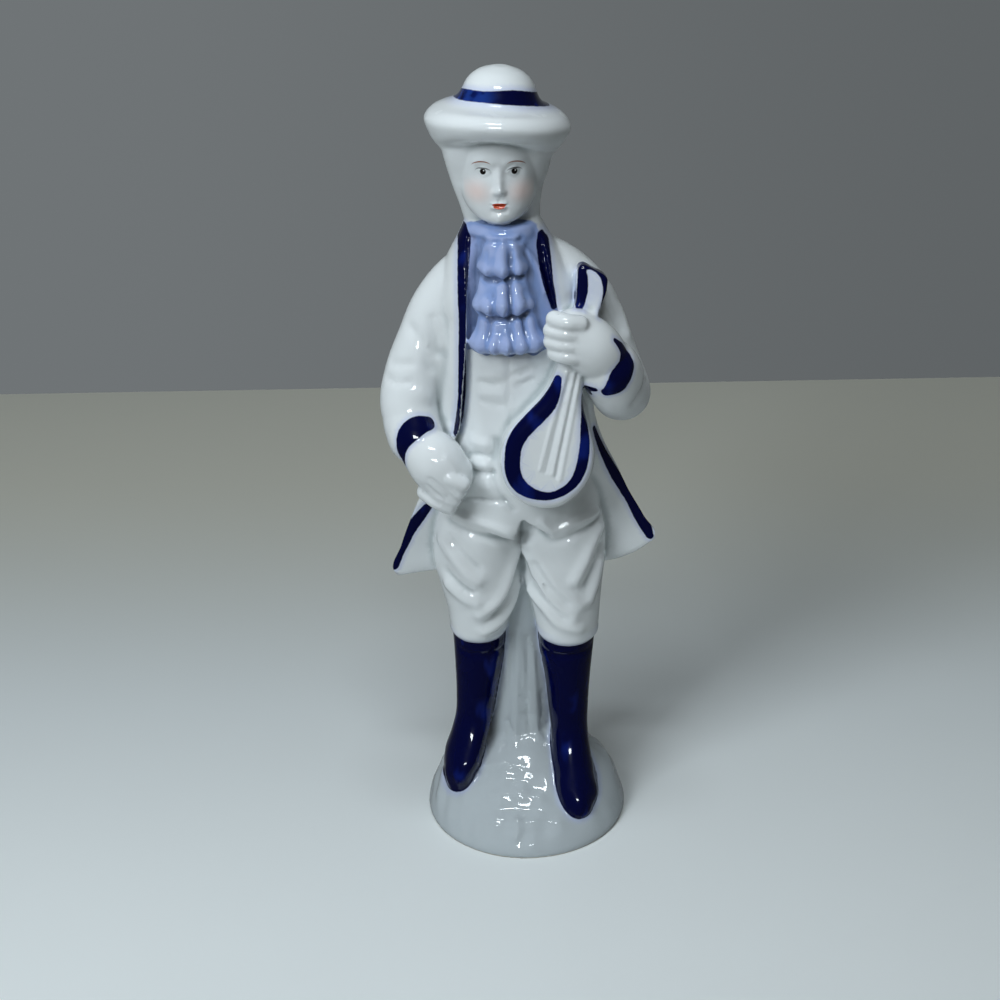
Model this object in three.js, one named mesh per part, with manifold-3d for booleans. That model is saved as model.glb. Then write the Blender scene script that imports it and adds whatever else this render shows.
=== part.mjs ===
// A glazed porcelain figurine of a lute player in a brimmed hat, long coat and boots,
// standing on a mound with a tree stump behind the legs.
// Millimetres, +Z up. The figure faces -Y and the origin is the middle of the flat underside.
// Left and right are the viewer's, who stands in front of the figure.
import * as THREE from "three";
import { LoftGeometry } from "three/addons/geometries/LoftGeometry.js";
import { mergeVertices } from "three/addons/utils/BufferGeometryUtils.js";
import Module from "manifold-3d";

// Driving dimensions
const HEIGHT = 200; // underside to crown of the hat
const BASE_RADIUS = 26.8;
const BRIM_RADIUS = 16.9;
const HAT_LEVEL = 186.8; // height of the brim
const HAT_TILT = 4.6; // degrees, the right of the brim is the lower side
const LUTE_TILT = 15; // degrees from upright, towards the right
const LUTE_LEAN = 9; // degrees, the lute's foot stands out from the belly
const FINGER_RADIUS = 1.7;
const GLAZE = 0xeef1f4;

const wasm = await Module();
wasm.setup();

const radians = THREE.MathUtils.degToRad;

// A solid made from a closed three.js geometry.
function solid(geometry) {
  const bare = new THREE.BufferGeometry().copy(geometry);
  bare.deleteAttribute("normal");
  bare.deleteAttribute("uv");
  const merged = mergeVertices(bare, 1e-4);
  return new wasm.Manifold(
    new wasm.Mesh({
      numProp: 3,
      vertProperties: merged.attributes.position.array,
      triVerts: new Uint32Array(merged.index.array),
    }),
  );
}

// One solid from several that overlap.
function fuse(...solids) {
  return solids.reduce((whole, next) => whole.add(next));
}

// Catmull-Rom through four numbers, from b at t = 0 to c at t = 1.
function smoothStep(a, b, c, d, t) {
  const slopeB = (c - a) / 2;
  const slopeC = (d - b) / 2;
  return (
    (2 * b - 2 * c + slopeB + slopeC) * t ** 3 +
    (3 * c - 3 * b - 2 * slopeB - slopeC) * t ** 2 +
    slopeB * t +
    b
  );
}

// What a stage has where it doesn't say otherwise.
const PLAIN = { x: 0, y: 0, square: 2, sweep: 0, lift: 0, lobes: 0, ripple: 0 };

// Fills in steps smooth stages between each two of the given ones, which are objects of like numbers.
function stagesBetween(stages, steps) {
  const full = stages.map((stage) => ({ ...PLAIN, ...stage, back: stage.back ?? stage.front }));
  const keys = Object.keys(full[0]);
  const out = [];
  for (let i = 0; i < full.length - 1; i++) {
    const a = full[Math.max(i - 1, 0)];
    const b = full[i];
    const c = full[i + 1];
    const d = full[Math.min(i + 2, full.length - 1)];
    for (let k = 0; k < steps; k++) {
      const between = (key) => smoothStep(a[key], b[key], c[key], d[key], k / steps);
      out.push(Object.fromEntries(keys.map((key) => [key, between(key)])));
    }
  }
  return [...out, full.at(-1)];
}

const signedPower = (value, power) => Math.sign(value) * Math.abs(value) ** power;

// A level oval: half its width, its depth before and behind the middle, squareness (2 is an ellipse),
// how far its two ends sweep forward, how far its right end lifts, and lobes that ripple its front.
function oval(stage, sides) {
  const { x, y, z, wide, front, back, square, sweep, lift, lobes, ripple } = stage;
  return Array.from({ length: sides }, (_, i) => {
    const turn = (2 * Math.PI * i) / sides;
    const across = signedPower(Math.cos(turn), 2 / square);
    const along = signedPower(Math.sin(turn), 2 / square);
    const wave = along < 0 ? ripple * Math.cos(lobes * Math.PI * across) * -along : 0;
    return new THREE.Vector3(
      x + wide * across,
      y + along * (along < 0 ? front : back) - wave - sweep * Math.abs(across) ** 1.2,
      z + lift * Math.max(0, across) ** 4,
    );
  });
}

// A closed body through level ovals, from the lowest to the highest.
function stack(stages, sides, steps = 1) {
  const sections = stagesBetween(stages, steps).map((stage) => oval(stage, sides));
  return new LoftGeometry(sections, { capStart: true, capEnd: true });
}

// A closed limb along a smooth line of joints, each [x, y, z, radius], a little flattened from front to back.
function limb(joints, { sides = 12, steps = 2, flat = 1 } = {}) {
  const stages = stagesBetween(joints.map(([x, y, z, r]) => ({ x, y, z, r })), steps);
  const places = stages.map((s) => new THREE.Vector3(s.x, s.y, s.z));
  const forward = new THREE.Vector3(0, -1, 0);
  const ring = (middle, heading, radius) => {
    const side = new THREE.Vector3().crossVectors(forward, heading).normalize();
    const out = new THREE.Vector3().crossVectors(heading, side);
    return Array.from({ length: sides }, (_, i) => {
      const turn = (2 * Math.PI * i) / sides;
      return middle
        .clone()
        .addScaledVector(side, radius * Math.cos(turn))
        .addScaledVector(out, radius * flat * Math.sin(turn));
    });
  };
  const headings = places.map((_, i) =>
    places[Math.min(i + 1, places.length - 1)].clone().sub(places[Math.max(i - 1, 0)]).normalize(),
  );
  // Each is the share of the radius left, at a share of it past the end.
  const rounding = [[0.82, 0.5], [0.45, 0.85]];
  const start = rounding.toReversed().map(([share, past]) =>
    ring(places[0].clone().addScaledVector(headings[0], -past * stages[0].r), headings[0], share * stages[0].r),
  );
  const end = rounding.map(([share, past]) =>
    ring(
      places.at(-1).clone().addScaledVector(headings.at(-1), past * stages.at(-1).r),
      headings.at(-1),
      share * stages.at(-1).r,
    ),
  );
  const middle = places.map((place, i) => ring(place, headings[i], stages[i].r));
  return new LoftGeometry([...start, ...middle, ...end], { capStart: true, capEnd: true });
}

// A block with the given front outline, from y = near to y = far, to cut with.
function frontPrism(outline, near, far) {
  const shape = new THREE.Shape(outline.map(([x, z]) => new THREE.Vector2(x, z)));
  const block = new THREE.ExtrudeGeometry(shape, { depth: far - near, bevelEnabled: false });
  return block.rotateX(Math.PI / 2).translate(0, far, 0);
}

// The low rocky mound, flat below.
function mound() {
  const edge = BASE_RADIUS;
  return stack(
    [
      { z: 0, wide: edge - 0.8, front: edge - 0.1 },
      { z: 0.8, wide: edge - 0.5, front: edge },
      { z: 3, wide: edge - 0.9, front: edge - 0.8, back: edge - 0.8 },
      { z: 5.8, wide: edge - 1.7, front: edge - 3.3, back: edge - 1.5 },
      { z: 8.6, wide: edge - 2.8, front: edge - 6.6, back: edge - 2.4 },
      { z: 11.2, wide: edge - 4.3, front: edge - 9.8, back: edge - 3.6 },
      { z: 14, wide: edge - 6.7, front: edge - 13.2, back: edge - 5.8 },
      { z: 16.8, wide: edge - 10.6, front: edge - 16, back: edge - 9.6 },
      { z: 19.4, wide: 10.4, front: 8, back: 13 },
    ],
    28,
  );
}

// The stump that backs the legs, spreading into the mound.
function stump() {
  return stack(
    [
      { z: 12, x: -0.8, y: 4, wide: 12.5, front: 10.5, back: 11 },
      { z: 17, x: -0.8, y: 4, wide: 10.4, front: 8.6, back: 9 },
      { z: 23, x: -0.8, y: 4, wide: 9, front: 7.4, back: 7.8 },
      { z: 34, x: -0.5, y: 4, wide: 8, front: 6.4, back: 6.8 },
      { z: 50, x: -0.4, y: 3.5, wide: 7.4, front: 5.8, back: 6.4 },
      { z: 76, x: -0.4, y: 1.5, wide: 6.4, front: 5.4, back: 6 },
    ],
    18,
  );
}

// A tall boot: its shaft, and a foot that rests on the mound.
function leftBoot() {
  return stack(
    [
      { z: 9, x: -17, y: -4.4, wide: 4.4, front: 6.4, back: 7 },
      { z: 12.8, x: -17.3, y: -4.2, wide: 4.4, front: 7.8, back: 6.6 },
      { z: 15.8, x: -17, y: -3.8, wide: 4.9, front: 9.2, back: 6.4 },
      { z: 19.2, x: -16.2, y: -3, wide: 5.2, front: 9, back: 6.4 },
      { z: 23, x: -14.9, y: -1.6, wide: 5, front: 7.2, back: 6 },
      { z: 28, x: -13.6, y: -0.2, wide: 4.9, front: 5.6, back: 5.4 },
      { z: 35, x: -12.8, y: 0.1, wide: 5.3, front: 5.5 },
      { z: 43, x: -12.2, y: 0.1, wide: 6, front: 6.2 },
      { z: 50, x: -11.8, y: 0, wide: 6.6, front: 6.8 },
      { z: 56, x: -11.8, y: -0.2, wide: 6.9, front: 7.1 },
    ],
    18,
  );
}

function rightBoot() {
  return stack(
    [
      { z: 4, x: 12.5, y: -8, wide: 4.8, front: 9.4, back: 9 },
      { z: 7.4, x: 12.6, y: -8, wide: 5.7, front: 11.4, back: 9 },
      { z: 10.6, x: 12.6, y: -7.8, wide: 6.1, front: 11.6, back: 8.6 },
      { z: 14.6, x: 12.2, y: -6.6, wide: 5.8, front: 10.2, back: 7.8 },
      { z: 19.6, x: 11.7, y: -4.4, wide: 5.2, front: 8, back: 6.6 },
      { z: 25, x: 11.4, y: -3, wide: 4.9, front: 6, back: 5.6 },
      { z: 33, x: 11.1, y: -2.8, wide: 5.3, front: 5.6, back: 5.6 },
      { z: 42, x: 10.9, y: -3, wide: 6, front: 6.2 },
      { z: 50, x: 10.7, y: -3, wide: 6.9, front: 6.9 },
      { z: 57, x: 10.8, y: -3, wide: 7.4, front: 7.4 },
    ],
    18,
  );
}

// Presses folds in a body: what lies before y = middle moves out by rise near a line seen from the front.
function pressFolds(geometry, strokes) {
  const at = geometry.attributes.position;
  const nearest = new THREE.Vector3();
  const flat = ([x, z]) => new THREE.Vector3(x, 0, z);
  const lines = strokes.map(({ line }) => line.slice(1).map((end, i) => new THREE.Line3(flat(line[i]), flat(end))));
  for (let i = 0; i < at.count; i++) {
    const here = flat([at.getX(i), at.getZ(i)]);
    const distance = (part) => part.closestPointToPoint(here, true, nearest).distanceTo(here);
    strokes.forEach(({ rise, width, middle }, s) => {
      const away = Math.min(...lines[s].map(distance));
      const facing = THREE.MathUtils.smoothstep(middle - at.getY(i), 0, 4);
      at.setY(i, at.getY(i) - rise * facing * Math.exp(-((away / width) ** 2)));
    });
  }
  return geometry;
}

// Loose breeches gathered above the boots, with slack folds hanging between hip and knee.
function leftBreeches() {
  const leg = stack(
    [
      { z: 52.6, x: -11.8, y: -0.4, wide: 5, front: 5.4, back: 5.4 },
      { z: 54, x: -11.8, y: -0.4, wide: 6.9, front: 7.6, back: 7.2 },
      { z: 57, x: -11.7, y: -0.4, wide: 7.6, front: 8.6, back: 8 },
      { z: 61, x: -11.4, y: -0.6, wide: 8.3, front: 9.2, back: 8.4 },
      { z: 67, x: -11.4, y: -0.8, wide: 9.7, front: 9.9, back: 8.8 },
      { z: 76, x: -11.8, y: -0.8, wide: 11.1, front: 10.3, back: 9 },
      { z: 85, x: -11, y: -0.8, wide: 11.4, front: 10.6, back: 9 },
      { z: 94, x: -9.5, y: -0.8, wide: 10.5, front: 10, back: 9 },
    ],
    26,
    2,
  );
  return solid(
    pressFolds(leg, [
      { line: [[-22, 82], [-19, 74], [-14, 67.5], [-9, 65]], rise: 1.1, width: 1.9, middle: -1 },
      {
        line: [[-20.5, 68], [-17, 61.5], [-11.5, 58], [-7, 60], [-3, 68], [-1, 76]],
        rise: 1.2,
        width: 1.8,
        middle: -1,
      },
      { line: [[-1.5, 82], [-4.5, 73], [-8.5, 66]], rise: 0.9, width: 1.5, middle: -1 },
      { line: [[-16, 80], [-11, 72], [-6, 76]], rise: -0.5, width: 3, middle: -1 },
    ]),
  );
}

function rightBreeches() {
  const leg = stack(
    [
      { z: 53.2, x: 11, y: -3.4, wide: 5.6, front: 5.8, back: 5.6 },
      { z: 54.6, x: 11, y: -3.4, wide: 7.4, front: 7.8, back: 7.4 },
      { z: 57.5, x: 10.9, y: -3.2, wide: 8, front: 8.6, back: 8.2 },
      { z: 61, x: 10.7, y: -2.8, wide: 8.5, front: 9, back: 8.8 },
      { z: 67, x: 10.3, y: -2, wide: 9.4, front: 9.4, back: 9.6 },
      { z: 76, x: 10.1, y: -1.4, wide: 10.5, front: 10, back: 9.6 },
      { z: 85, x: 9.4, y: -1, wide: 11, front: 10.4, back: 9.4 },
      { z: 94, x: 8, y: -0.8, wide: 10.5, front: 10, back: 9 },
    ],
    26,
    2,
  );
  return solid(
    pressFolds(leg, [
      { line: [[0.5, 80], [4, 73], [9.5, 66.5], [12, 66]], rise: 1.1, width: 1.8, middle: -2 },
      { line: [[1.5, 69], [6, 61.5], [11, 58.5], [16, 61], [19, 68]], rise: 1.2, width: 1.8, middle: -2 },
      { line: [[20, 84], [17.5, 75], [14, 68]], rise: 1, width: 1.6, middle: -2 },
      { line: [[5, 80], [10.5, 74], [15, 79]], rise: -0.5, width: 2.6, middle: -2 },
    ]),
  );
}

// The trunk of the body in its waistcoat, cut off below along two pointed flaps.
function waistcoat() {
  const body = stack(
    [
      { z: 82, x: -1.2, wide: 21, front: 12.4, back: 9 },
      { z: 92, x: -1.2, wide: 20.8, front: 12.8, back: 9 },
      { z: 100, x: -1, wide: 18.6, front: 12.8, back: 9 },
      { z: 110, x: -1, wide: 16, front: 12, back: 9 },
      { z: 122, x: -1.6, wide: 14.4, front: 11.2, back: 9 },
      { z: 136, x: -2.2, wide: 14.6, front: 11.4, back: 9 },
      { z: 150, x: -3, wide: 13.4, front: 10.8, back: 8.4 },
      { z: 158, x: -3.6, wide: 11, front: 8.8, back: 7.6 },
      { z: 163, x: -3.8, wide: 8.6, front: 7.4, back: 7 },
    ],
    24,
  );
  const kept = frontPrism(
    [
      [-26, 92.4],
      [-18.2, 90],
      [-2.3, 85.1],
      [-0.4, 91],
      [3.9, 87.9],
      [6.9, 85.8],
      [18.8, 88.8],
      [26, 92],
      [26, 170],
      [-26, 170],
    ],
    -30,
    30,
  );
  return solid(body).intersect(solid(kept));
}

// The coat: close round the chest, open down its front, its skirt flung out to both sides behind the legs.
function coat() {
  const body = stack(
    [
      { z: 71.6, x: 0, y: 3.6, wide: 32.9, front: 2.8, back: 9, sweep: 7.6, lift: 8.4 },
      { z: 79.5, x: 0, y: 3.4, wide: 29.5, front: 3, back: 9, sweep: 7, lift: 7.2 },
      { z: 88, x: 0.3, y: 2.8, wide: 25.7, front: 3.6, back: 8.8, sweep: 6, lift: 6 },
      { z: 96, x: 0.3, y: 1.6, wide: 22.6, front: 5.2, back: 9, square: 2.1, sweep: 4.4, lift: 4.6 },
      { z: 104, x: -0.6, y: 0.6, wide: 20.9, front: 7.6, back: 9.4, square: 2.2, sweep: 2, lift: 2.4 },
      { z: 112, x: -1.9, y: 0, wide: 20, front: 10.4, back: 10, square: 2.3, lift: 0.6 },
      { z: 124, x: -2, y: 0, wide: 19, front: 12.2, back: 10.4, square: 2.3 },
      { z: 138, x: -2.4, y: 0, wide: 17.6, front: 12.6, back: 11.2, square: 2.3 },
      { z: 148, x: -2.8, y: 0, wide: 16.6, front: 12, back: 11, square: 2.2 },
      { z: 155, x: -3.4, y: 0, wide: 14, front: 10.4, back: 10, square: 2.1 },
      { z: 160, x: -3.8, y: 0, wide: 11, front: 8.8, back: 9 },
      { z: 164.5, x: -4, y: 0.4, wide: 8.7, front: 7, back: 8.4 },
    ],
    36,
  );
  const opening = frontPrism(
    [
      [-11.6, 172],
      [-12.7, 160],
      [-12.9, 140],
      [-15.2, 113.6],
      [-19, 104],
      [-24, 94],
      [-30, 84],
      [28, 88],
      [22.5, 103],
      [16.8, 114],
      [12.5, 128],
      [7.6, 148],
      [4.9, 162],
      [4.2, 172],
    ],
    -40,
    -4.5,
  );
  return solid(body).subtract(solid(opening));
}

// The arm at the viewer's left hangs, and its forearm comes forward to the hip.
function leftSleeve() {
  return limb(
    [
      [-10, 1, 154, 4.8],
      [-15.4, 1, 148.8, 5.8],
      [-19.6, 0.8, 142, 6.7],
      [-22.9, 0, 134, 7],
      [-26, -1.5, 125.5, 7.3],
      [-27.3, -4, 118.5, 7.2],
      [-26, -7.4, 113, 6.4],
    ],
    { sides: 14, steps: 1 },
  );
}

// The arm at the viewer's right is bent, and its forearm comes up in front of the chest.
function rightSleeve() {
  const upper = limb(
    [
      [4.5, 1, 155.5, 4.8],
      [10, 1, 150.6, 6.2],
      [15, 0.8, 144.4, 6.9],
      [18.3, 0, 137, 7],
      [21, -2, 129.4, 7.1],
      [23.7, -4.6, 122.4, 7.2],
    ],
    { sides: 14, steps: 1 },
  );
  const fore = limb(
    [
      [23.9, -5.4, 121.8, 7.2],
      [22.8, -8.6, 124, 6.9],
      [20.6, -12, 128.4, 6.2],
    ],
    { sides: 14, steps: 1 },
  );
  return fuse(solid(upper), solid(fore));
}

// A turned-back cuff round the end of a sleeve.
function cuff(joints) {
  return solid(limb(joints, { sides: 18, steps: 1 }));
}

// A hand: its back, and four fingers side by side, each a row of joints.
function hand(back, fingers) {
  const thick = (joint) => [...joint, FINGER_RADIUS];
  const rows = fingers.map((joints) => solid(limb(joints.map(thick), { sides: 8, steps: 1 })));
  return fuse(solid(limb(back, { sides: 14, steps: 1 })), ...rows);
}

// The fist at the hip, which grips the edge of the coat: its fingers run on from the wrist and curl under.
function leftHand() {
  const fingers = [0, 1, 2, 3].map((i) => {
    const [x, z] = [-21.1 + 1.1 * i, 98.2 + 2.3 * i];
    return [
      [x - 2.8, -14 - 0.5 * i, z + 1.6],
      [x, -15.6 - 0.6 * i, z],
      [x + 3, -15.4 - 0.7 * i, z - 1.7],
    ];
  });
  return hand(
    [
      [-25.5, -9.5, 111, 5.6],
      [-21.2, -12, 107, 7],
      [-18.8, -12.4, 103.6, 6.7],
    ],
    fingers,
  );
}

// The hand on the neck of the lute: its fingers lie level across it.
function rightHand() {
  const fingers = [0, 1, 2, 3].map((i) => {
    const z = 144.8 - 2.9 * i;
    return [
      [13.4, -17.8, z - 0.8],
      [9.8, -18.4, z],
      [6.9, -16.8, z + 0.2],
    ];
  });
  return hand(
    [
      [20.2, -12, 131.6, 6],
      [16.4, -13.4, 136.4, 6.8],
      [12.4, -13.6, 139.6, 6.4],
    ],
    fingers,
  );
}

// The lute: a pear-shaped body, a straight neck and a flat peg box, drawn with its belly round the origin.
function lute() {
  const halfWidths = [
    [-11.6, 1.6],
    [-10.4, 5.2],
    [-6, 9.4],
    [0, 11.2],
    [5, 10.6],
    [10, 8.1],
    [15, 5.2],
    [20, 3.7],
    [26, 3.1],
    [38, 2.9],
  ];
  const edge = new THREE.SplineCurve(halfWidths.map(([along, half]) => new THREE.Vector2(half, along)));
  const right = edge.getPoints(17);
  const left = right.toReversed().map((p) => new THREE.Vector2(-p.x, p.y));
  const outline = new THREE.Shape([...right, ...left]);
  const body = new THREE.ExtrudeGeometry(outline, {
    depth: 5,
    bevelThickness: 2.4,
    bevelSize: 2.2,
    bevelOffset: -2.2,
    bevelSegments: 2,
  });
  const box = new THREE.Shape()
    .moveTo(-2.7, 35)
    .lineTo(2.6, 35)
    .lineTo(2.2, 45.4)
    .lineTo(-4.4, 47.8)
    .lineTo(-2.9, 39);
  const pegBox = new THREE.ExtrudeGeometry(box, {
    depth: 4,
    bevelThickness: 0.8,
    bevelSize: 0.6,
    bevelOffset: -0.6,
    bevelSegments: 1,
  });
  const place = (geometry) =>
    geometry
      .rotateX(Math.PI / 2)
      .rotateX(radians(-LUTE_LEAN))
      .rotateY(radians(LUTE_TILT))
      .translate(5.3, -12.6, 108.3);
  return fuse(solid(place(body)), solid(place(pegBox)));
}

// A neckcloth wound round the throat, and three tiers of ruffle that fall from it.
function neckcloth() {
  const collar = stack(
    [
      { z: 157, x: -3.8, wide: 9.4, front: 9.2, back: 7 },
      { z: 160, x: -3.9, wide: 9, front: 9, back: 7.4 },
      { z: 164, x: -4.2, wide: 8.6, front: 8.6, back: 7.6 },
      { z: 167.5, x: -4.6, wide: 8.2, front: 7.4, back: 7.6 },
    ],
    24,
  );
  const tier = ({ x, top, bottom, narrow, broad, y, lobes }) => {
    const alike = { x, back: 2, lobes };
    return stack(
      [
        { ...alike, z: bottom, y, wide: broad - 0.8, front: 3.6, ripple: 0.7 },
        { ...alike, z: bottom + 1, y, wide: broad, front: 4.6, ripple: 0.8 },
        { ...alike, z: (bottom + top) / 2, y: y + 0.3, wide: (broad + narrow) / 2, front: 3.6, ripple: 0.5 },
        { ...alike, z: top, y: y + 0.6, wide: narrow, front: 2, ripple: 0.2 },
      ],
      24,
    );
  };
  return fuse(
    solid(collar),
    solid(tier({ x: -4.2, top: 162.4, bottom: 153.4, narrow: 4, broad: 6.1, y: -8.6, lobes: 3 })),
    solid(tier({ x: -4.2, top: 155.6, bottom: 144.4, narrow: 5, broad: 7.2, y: -10, lobes: 4 })),
    solid(tier({ x: -3.4, top: 147, bottom: 135, narrow: 6, broad: 8.9, y: -10.6, lobes: 5 })),
  );
}

// Full hair that narrows from under the brim to the collar, and the face set into its front.
function head() {
  const hair = stack(
    [
      { z: 158.5, x: -4.6, y: 1, wide: 8, front: 5, back: 8.5 },
      { z: 163, x: -4.7, y: 1, wide: 9.1, front: 5.6, back: 10 },
      { z: 168, x: -4.8, y: 1, wide: 10, front: 6.8, back: 11 },
      { z: 173, x: -4.8, y: 0.7, wide: 11.2, front: 7.4, back: 11.6 },
      { z: 178, x: -4.8, y: 0.3, wide: 12.7, front: 8, back: 12 },
      { z: 182.5, x: -4.8, y: 0, wide: 13.5, front: 8.8, back: 12.2 },
      { z: 186.5, x: -4.8, y: 0, wide: 13.4, front: 9.4, back: 12 },
    ],
    26,
  );
  const face = stack(
    [
      { z: 164.9, x: -4.8, y: -5, wide: 2.6, front: 3, back: 3 },
      { z: 165.8, x: -4.8, y: -4.4, wide: 4.7, front: 4.9, back: 4 },
      { z: 167.8, x: -4.8, y: -3.6, wide: 6.9, front: 6.4, back: 5 },
      { z: 171, x: -4.8, y: -2.6, wide: 8.7, front: 7.6, back: 5 },
      { z: 175, x: -4.8, y: -1.9, wide: 9.4, front: 8.1, back: 6 },
      { z: 180, x: -4.8, y: -1.6, wide: 9.4, front: 8.5, back: 6 },
      { z: 187, x: -4.8, y: -1, wide: 8.8, front: 7.8, back: 6 },
    ],
    24,
  );
  const nose = limb(
    [
      [-4.8, -9.2, 178.6, 0.8],
      [-4.8, -10.1, 175.6, 1],
      [-4.8, -10.7, 173.6, 1.25],
    ],
    { sides: 8, steps: 1 },
  );
  return fuse(solid(hair), solid(face), solid(nose));
}

// A round hat: a low domed crown that flares into a thick, drooping brim, drawn in below to the hair.
function hat() {
  const rim = BRIM_RADIUS;
  return stack(
    [
      { z: -5.6, wide: rim - 3.5, front: 9.6, back: 12.4 },
      { z: -2.6, wide: rim - 1.7, front: 13.6, back: 14.6 },
      { z: -0.8, wide: rim - 0.5, front: rim - 0.7 },
      { z: 0.6, wide: rim, front: rim },
      { z: 2, wide: rim - 0.7, front: rim - 0.7 },
      { z: 3.2, wide: rim - 2.6, front: rim - 2.6 },
      { z: 4.5, wide: 12, front: 12 },
      { z: 5.8, wide: 10.3, front: 10.3 },
      { z: 7.6, wide: 8.7, front: 8.7 },
      { z: 9.6, wide: 7.7, front: 7.7 },
      { z: 11.2, wide: 6.3, front: 6.3 },
      { z: 12.4, wide: 4.3, front: 4.3 },
      { z: HEIGHT - HAT_LEVEL, wide: 1.7, front: 1.7 },
    ],
    28,
  )
    .rotateY(radians(HAT_TILT))
    .translate(-4.9, -0.4, HAT_LEVEL);
}

function figurine() {
  return fuse(
    solid(mound()),
    solid(stump()),
    solid(leftBoot()),
    solid(rightBoot()),
    leftBreeches(),
    rightBreeches(),
    waistcoat(),
    coat(),
    solid(leftSleeve()),
    rightSleeve(),
    cuff([[-27, -6, 115, 6.9], [-25.9, -8.2, 112, 6.9]]),
    cuff([[22, -9.6, 127, 7.4], [20.6, -11.4, 130, 7.4]]),
    leftHand(),
    rightHand(),
    lute(),
    neckcloth(),
    head(),
    solid(hat()),
  );
}

// The three.js geometry of a finished solid.
function geometryOf(made) {
  const { vertProperties, triVerts } = made.getMesh();
  const geometry = new THREE.BufferGeometry();
  geometry.setAttribute("position", new THREE.BufferAttribute(vertProperties, 3));
  geometry.setIndex(new THREE.BufferAttribute(triVerts, 1));
  geometry.computeVertexNormals();
  return geometry;
}

const porcelain = new THREE.MeshStandardMaterial({ color: GLAZE, roughness: 0.12, metalness: 0 });
const group = new THREE.Group();
const figure = new THREE.Mesh(geometryOf(figurine()), porcelain);
figure.name = "musician_figurine";
group.add(figure);

export default group;
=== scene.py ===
import math

import bpy
import numpy as np
from mathutils import Matrix, Vector
from mathutils.bvhtree import BVHTree


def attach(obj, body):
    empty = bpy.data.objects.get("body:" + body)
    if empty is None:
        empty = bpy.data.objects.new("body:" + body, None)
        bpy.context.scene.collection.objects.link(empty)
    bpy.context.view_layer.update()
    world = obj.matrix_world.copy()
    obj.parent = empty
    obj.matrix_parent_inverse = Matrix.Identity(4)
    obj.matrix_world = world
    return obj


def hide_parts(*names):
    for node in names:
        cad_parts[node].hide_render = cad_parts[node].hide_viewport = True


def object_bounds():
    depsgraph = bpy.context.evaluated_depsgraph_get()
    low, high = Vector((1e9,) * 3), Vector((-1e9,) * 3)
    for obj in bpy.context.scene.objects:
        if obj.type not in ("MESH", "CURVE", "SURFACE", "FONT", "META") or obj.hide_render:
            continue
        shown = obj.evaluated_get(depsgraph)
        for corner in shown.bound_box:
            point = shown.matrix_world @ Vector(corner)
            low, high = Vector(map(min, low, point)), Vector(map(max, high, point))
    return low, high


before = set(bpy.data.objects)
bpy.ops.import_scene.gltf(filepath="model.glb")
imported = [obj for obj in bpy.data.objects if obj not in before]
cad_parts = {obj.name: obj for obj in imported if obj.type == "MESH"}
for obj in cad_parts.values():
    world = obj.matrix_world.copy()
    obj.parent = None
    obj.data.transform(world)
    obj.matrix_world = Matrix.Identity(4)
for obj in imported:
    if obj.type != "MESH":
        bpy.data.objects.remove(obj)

CAD_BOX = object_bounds()
MM = 0.001
NODE = "musician_figurine"
PIECE = "porcelain_musician"

bl_info = {
    "name": "Porcelain Musician",
    "version": (1, 0, 0),
    "blender": (4, 5, 0),
    "location": "View3D > Sidebar > Musician",
    "description": "Casts, carves, paints and glazes a porcelain figurine of a lute player",
    "category": "Add Mesh",
}

# Sizes in this file are millimetres until a mesh is made. The figure faces -Y, and left and right are
# the viewer's.
HAT_LEVEL = 186.8
HAT_TILT = math.radians(4.6)
HAT_MIDDLE = (-4.9, -0.4)
LUTE_TILT = math.radians(15)
LUTE_LEAN = math.radians(9)
LUTE_PLACE = (5.3, -12.6, 108.3)
FACE_MIDDLE = -4.8
EYE_LEVEL = 178.0
EYE_APART = 3.6
NOSE_BASE = 172.5
MOUTH_LEVEL = 170.1
CLOTH_HEM = 134.3
SKIRT_CORNER = (-30, 74)  # the middle of the round corner of the left skirt, as x and z
SKIRT_ROUNDING = 3.2

# Shades of the paint and of painted light that aren't settings: painted light on the neckcloth's ridges and
# on the hat band's left, and a painted highlight in the eyes
PALE_CLOTH = (0.42, 0.50, 0.78)
PALE_BLEED = (0.42, 0.48, 0.80)
# the lighter blue of the painted light on the hat band's left
LIT_BAND_COBALT = (0.010, 0.036, 0.22)
EYE_BLACK = (0.012, 0.009, 0.008)
GLINT_WHITE = (0.9, 0.9, 0.9)

# The glaze where it is the same all over
GLAZE_VALUES = {
    "IOR": 1.4,
    "Specular IOR Level": 0.05,
    "Coat Weight": 0.65,
    "Coat Roughness": 0.03,
}

# Places and sizes on the stage, in metres, and the camera's sensor and lens, in millimetres
TABLE_SIZE = (1.6, 0.43)
CAMERA_PLACE = (-0.0058, -0.442, 0.306)
CAMERA_PITCH = math.radians(-26)
CAMERA_ROLL = math.radians(-1)
SENSOR_WIDTH = 36
LENS = 70.56
LAMP_AIM = (0, 0, 0.1)
LAMP_TINT = (0.87, 0.95, 1.0)

# The lamps: name, place, width and height, power as a share of the key lamp's, and whether it is only
# seen in the glaze instead of lighting the scene
LAMPS = [
    ("key", (-0.33, -0.42, 0.5), (0.26, 0.26), 1.0, False),
    ("front_lamp", (-0.02, -0.33, 0.72), (0.2, 0.07), 0.41, False),
    ("top_lamp", (-0.02, -0.1, 0.86), (0.2, 0.07), 0.39, False),
    ("low_window", (-0.03, -0.65, 0.43), (0.22, 0.07), 0.9, True),
    ("high_window", (-0.03, -0.36, 0.78), (0.26, 0.08), 1.2, True),
]


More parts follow.
